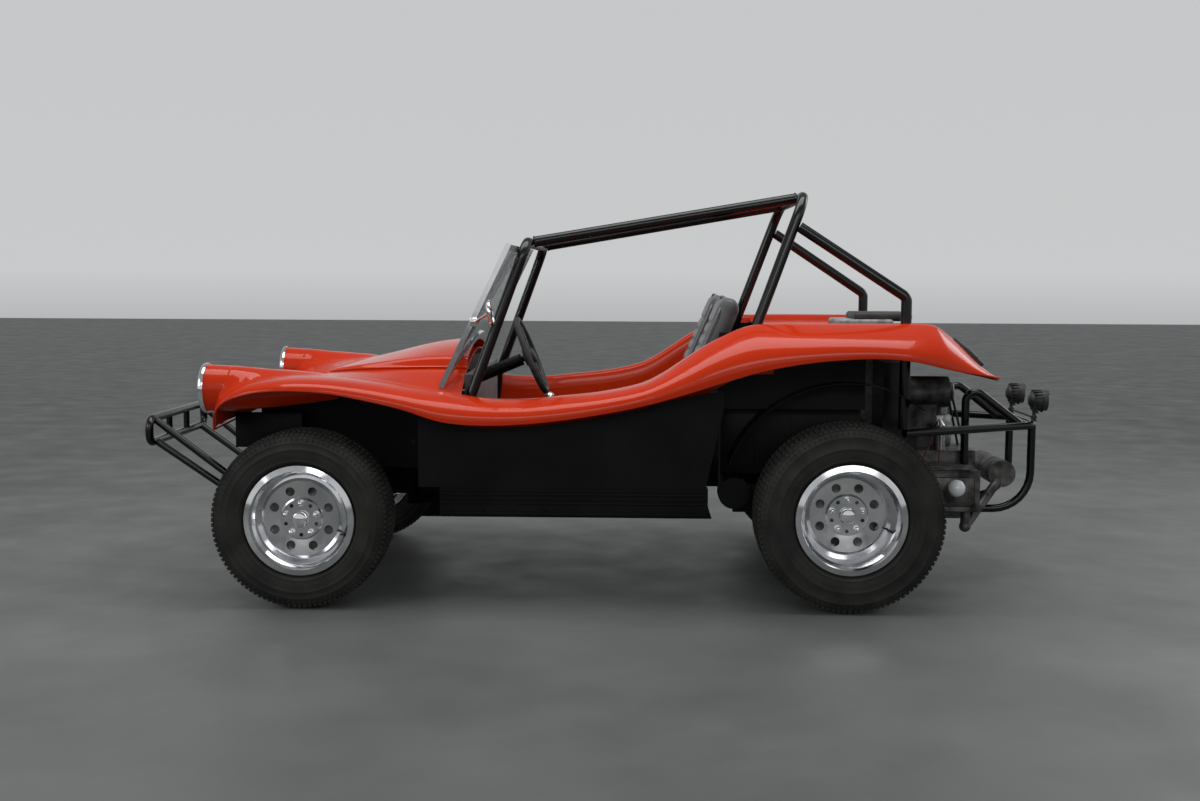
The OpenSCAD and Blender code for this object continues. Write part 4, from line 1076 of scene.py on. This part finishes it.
def build_wheels(look):
    for end, edge, dish in (("front", 17.5, 45), ("rear", 15, 120)):
        radius = half_size(f"tyre_{end}_left").z
        width = 2 * half_size(f"tyre_{end}_left").y
        bead = 0.190
        inner = [(bead + 0.0003, -edge * MM - 0.018), (bead + 0.004, -edge * MM - 0.0135),
                 (0.209, -edge * MM - 0.0105), (0.2145, -edge * MM), (0.2175, -0.010), (0.222, -0.006),
                 (0.2235, -0.0035), (0.2265, -0.0045), (0.240, -0.0015), (0.252, 0.0), (0.262, -0.0002),
                 (0.264, 0.0008), (0.267, 0.0008), (0.269, -0.0004), (radius - 0.045, -0.003),
                 (radius - 0.041, -0.0022), (radius - 0.038, -0.0042), (radius - 0.024, -0.010),
                 (radius - 0.014, -0.017), (radius - 0.009, -0.030), (radius - 0.008, -0.050)]
        profile = inner + [(r, -width - h) for r, h in reversed(inner)]
        carcass = lathe(profile + [profile[0]], 128)
        tyre = joined(carcass, tread_blocks(radius, width, look.tread_count))
        notch = block((-0.012, -0.0016, -0.0008), (0.012, 0.0016, 0.0012))
        tyre = joined(tyre, moved(repeated(notch, FINISH["rubber"], 96, radius=radius - 0.033),
                                  Matrix.Translation((0, 0, -0.0062))))
        back = -(edge + dish) * MM
        nut = joined(hex_bolt(0.0105, 0.014),
                     moved(lathe([(0.0095, 0), (0.0085, 0.006), (0.005, 0.0095), (0, 0.0105)], 16),
                           Matrix.Translation((0, 0, 0.014))))
        nuts = moved(repeated(nut, FINISH["chrome"], 5, radius=0.060, phase=math.radians(18)),
                     Matrix.Translation((0, 0, back + 0.003)))
        cap = moved(lathe([(0.031, 0), (0.031, 0.004), (0.0275, 0.008), (0.0275, 0.026), (0.024, 0.031),
                           (0.012, 0.034), (0, 0.0345)], 48), Matrix.Translation((0, 0, back + 0.004)))
        stem = tube([Vector((0.168, 0.0, back - 0.006)), Vector((0.160, 0.0, back + 0.022))], 0.0038, 10)
        stem = moved(stem, Matrix.Rotation(math.radians(-20), 4, "Z"))
        drum_low, drum_high = back - 0.0237, back - 0.0225
        drum = lathe([(0, drum_low), (0.124, drum_low), (0.124, drum_high), (0, drum_high)], 64)
        for name, side in SIDES:
            hub = middle(f"tyre_{end}_{name}")
            face = hub.y + side * width / 2
            place = axis_to((hub.x, face, hub.z), (0, side, 0))
            body = f"wheel_{end}_{name}"
            label = f"{end}_{name}"
            piece("tyre_" + label + "_tread", moved(tyre, place), FINISH["rubber"], body=body,
                  replaces=(f"tyre_{end}_{name}",), sharp=30)
            piece("wheel_nuts_" + label, moved(joined(nuts, cap), place), FINISH["chrome"],
                  body=body)
            piece("valve_" + label, moved(stem, place), FINISH["plastic"], body=body)
            piece("drum_face_" + label, moved(drum, place), FINISH["cast"], body=body)
            dress(f"rim_{end}_{name}", "alloy")


# ---- stage ----


def build_stage(look):
    scene = bpy.context.scene
    floor_mesh = bpy.data.meshes.new("floor")
    s = 30
    floor_mesh.from_pydata([(-s, -s, 0), (s, -s, 0), (s, s, 0), (-s, s, 0)], [], [(0, 1, 2, 3)])
    floor = bpy.data.objects.new("floor", floor_mesh)
    scene.collection.objects.link(floor)
    floor_mesh.materials.append(FINISH["floor"])
    world = bpy.data.worlds.new("studio")
    world.use_nodes = True
    tree = world.node_tree
    sky, split, fade = (tree.nodes.new(kind) for kind in (
        "ShaderNodeTexCoord", "ShaderNodeSeparateXYZ", "ShaderNodeValToRGB"))
    spread = tree.nodes.new("ShaderNodeMapRange")
    spread.inputs["From Min"].default_value = -1
    tree.links.new(sky.outputs["Generated"], split.inputs["Vector"])
    tree.links.new(split.outputs["Z"], spread.inputs["Value"])
    tree.links.new(spread.outputs["Result"], fade.inputs["Fac"])
    tree.links.new(fade.outputs["Color"], tree.nodes["Background"].inputs["Color"])
    tree.nodes["Background"].inputs["Strength"].default_value = look.world_light
    stops = fade.color_ramp.elements
    stops[0].position, stops[0].color = 0.45, (0.30, 0.31, 0.32, 1)
    stops[1].position, stops[1].color = 1.0, (0.30, 0.32, 0.34, 1)
    for place, level in ((0.5, 0.72), (0.62, 0.70), (0.78, 0.34)):
        stops.new(place).color = (level, level * 1.02, level * 1.03, 1)
    scene.world = world
    for name, place, size, power in (
            ("ceiling", (0.0, 0.5, 4.2), (5.0, 2.2), look.key_light),
            ("front", (4.5, 3.5, 2.6), (2.4, 2.0), look.key_light * 0.35),
            ("side", (-1.0, 6.5, 3.4), (6.0, 1.2), look.key_light * 0.45),
            ("rear", (-4.8, -2.5, 3.0), (2.4, 2.0), look.key_light * 0.3)):
        lamp = bpy.data.lights.new(name, "AREA")
        lamp.shape = "RECTANGLE"
        lamp.size, lamp.size_y = size
        lamp.energy = power
        obj = bpy.data.objects.new(name, lamp)
        obj.location = place
        obj.rotation_euler = (Vector((0, 0, 0.5)) - Vector(place)).to_track_quat("-Z", "Y").to_euler()
        scene.collection.objects.link(obj)
    camera = bpy.data.cameras.new("camera")
    camera.lens = 41.4
    camera.sensor_width = 36
    obj = bpy.data.objects.new("camera", camera)
    pitch, roll = math.radians(5.28), math.radians(0.28)
    forward = Vector((0.0244 * math.cos(pitch), -0.9997 * math.cos(pitch), -math.sin(pitch)))
    turn = forward.to_track_quat("-Z", "Y").to_matrix() @ Matrix.Rotation(roll, 3, "Z")
    obj.matrix_world = Matrix.Translation((-0.139, 5.780, 1.247)) @ turn.to_4x4()
    scene.collection.objects.link(obj)
    scene.camera = obj
    scene.view_settings.view_transform = "Standard"


# ---- add-on ----


class BuggyLook(bpy.types.PropertyGroup):
    """Sizes and colours of the car's finish"""

    paint: FloatVectorProperty(name="Paint", description="Colour of the body", subtype="COLOR",
                               default=(0.52, 0.027, 0.002), min=0, max=1)
    black: FloatVectorProperty(name="Black", description="Colour of panels and tubes", subtype="COLOR",
                               default=(0.005, 0.005, 0.0053), min=0, max=1)
    vinyl: FloatVectorProperty(name="Vinyl", description="Colour of the seats", subtype="COLOR",
                               default=(0.085, 0.085, 0.09), min=0, max=1)
    skin: FloatProperty(name="Skin", description="Thickness of the body", default=0.006, unit="LENGTH")
    cage_tube: FloatProperty(name="Cage tube", description="Diameter of the roll cage", default=0.041,
                             unit="LENGTH")
    bumper_tube: FloatProperty(name="Bumper tube", description="Diameter of the bumpers", default=0.032,
                               unit="LENGTH")
    tread_count: IntProperty(name="Tread blocks", description="Blocks around each tyre", default=104)
    key_light: FloatProperty(name="Key light", description="Power of the ceiling light in watts", default=130)
    world_light: FloatProperty(name="Sky light", description="Strength of the surrounding light", default=0.8)


class BUGGY_OT_materials(bpy.types.Operator):
    """Make every finish of the car"""

    bl_idname = "buggy.materials"
    bl_label = "Finishes"

    def execute(self, context):
        FINISH.update(make_materials(context.scene.buggy))
        return {"FINISHED"}


class BUGGY_OT_body(bpy.types.Operator):
    """Body skin, pods and hood"""

    bl_idname = "buggy.body"
    bl_label = "Body"

    def execute(self, context):
        build_body(context.scene.buggy)
        return {"FINISHED"}


class BUGGY_OT_panels(bpy.types.Operator):
    """Side panels, sills, tub, floor and dash"""

    bl_idname = "buggy.panels"
    bl_label = "Panels"

    def execute(self, context):
        build_panels()
        return {"FINISHED"}


class BUGGY_OT_shield(bpy.types.Operator):
    """Windshield frame and glass"""

    bl_idname = "buggy.shield"
    bl_label = "Windshield"

    def execute(self, context):
        build_shield()
        return {"FINISHED"}


class BUGGY_OT_cage(bpy.types.Operator):
    """Roll cage"""

    bl_idname = "buggy.cage"
    bl_label = "Roll cage"

    def execute(self, context):
        build_cage(context.scene.buggy)
        return {"FINISHED"}


class BUGGY_OT_bumpers(bpy.types.Operator):
    """Front and rear tube bumpers"""

    bl_idname = "buggy.bumpers"
    bl_label = "Bumpers"

    def execute(self, context):
        build_bumpers(context.scene.buggy)
        return {"FINISHED"}


class BUGGY_OT_lamps(bpy.types.Operator):
    """Headlamps, tail lamps, spot lamps and mirror"""

    bl_idname = "buggy.lamps"
    bl_label = "Lamps and mirror"

    def execute(self, context):
        build_lamps()
        return {"FINISHED"}


class BUGGY_OT_seats(bpy.types.Operator):
    """Seat cushions with piping"""

    bl_idname = "buggy.seats"
    bl_label = "Seats"

    def execute(self, context):
        build_seats()
        return {"FINISHED"}


class BUGGY_OT_controls(bpy.types.Operator):
    """Steering wheel, levers and suspension"""

    bl_idname = "buggy.controls"
    bl_label = "Controls"

    def execute(self, context):
        build_controls()
        return {"FINISHED"}


class BUGGY_OT_engine(bpy.types.Operator):
    """Engine, shroud, exhaust and air cleaner"""

    bl_idname = "buggy.engine"
    bl_label = "Engine"

    def execute(self, context):
        build_engine()
        return {"FINISHED"}


class BUGGY_OT_wheels(bpy.types.Operator):
    """Tyres, rims, nuts and valves"""

    bl_idname = "buggy.wheels"
    bl_label = "Wheels"

    def execute(self, context):
        build_wheels(context.scene.buggy)
        return {"FINISHED"}


class BUGGY_OT_stage(bpy.types.Operator):
    """Floor, lights and camera"""

    bl_idname = "buggy.stage"
    bl_label = "Stage"

    def execute(self, context):
        build_stage(context.scene.buggy)
        return {"FINISHED"}


OPERATORS = (
    BUGGY_OT_materials, BUGGY_OT_stage, BUGGY_OT_body, BUGGY_OT_panels, BUGGY_OT_shield, BUGGY_OT_cage,
    BUGGY_OT_bumpers, BUGGY_OT_lamps, BUGGY_OT_seats, BUGGY_OT_controls, BUGGY_OT_engine, BUGGY_OT_wheels,
)


class BUGGY_PT_panel(bpy.types.Panel):
    """Lists the car's operators"""

    bl_idname = "BUGGY_PT_panel"
    bl_label = "Dune buggy"
    bl_space_type = "VIEW_3D"
    bl_region_type = "UI"
    bl_category = "Buggy"

    def draw(self, context):
        for name in BuggyLook.__annotations__:
            self.layout.prop(context.scene.buggy, name)
        for operator in OPERATORS:
            self.layout.operator(operator.bl_idname)


def register():
    for item in (BuggyLook, *OPERATORS, BUGGY_PT_panel):
        bpy.utils.register_class(item)
    bpy.types.Scene.buggy = bpy.props.PointerProperty(type=BuggyLook)


def unregister():
    del bpy.types.Scene.buggy
    for item in reversed((BuggyLook, *OPERATORS, BUGGY_PT_panel)):
        bpy.utils.unregister_class(item)


def main():
    register()
    for operator in OPERATORS:
        group, name = operator.bl_idname.split(".")
        getattr(getattr(bpy.ops, group), name)()


if __name__ == "__main__":
    main()
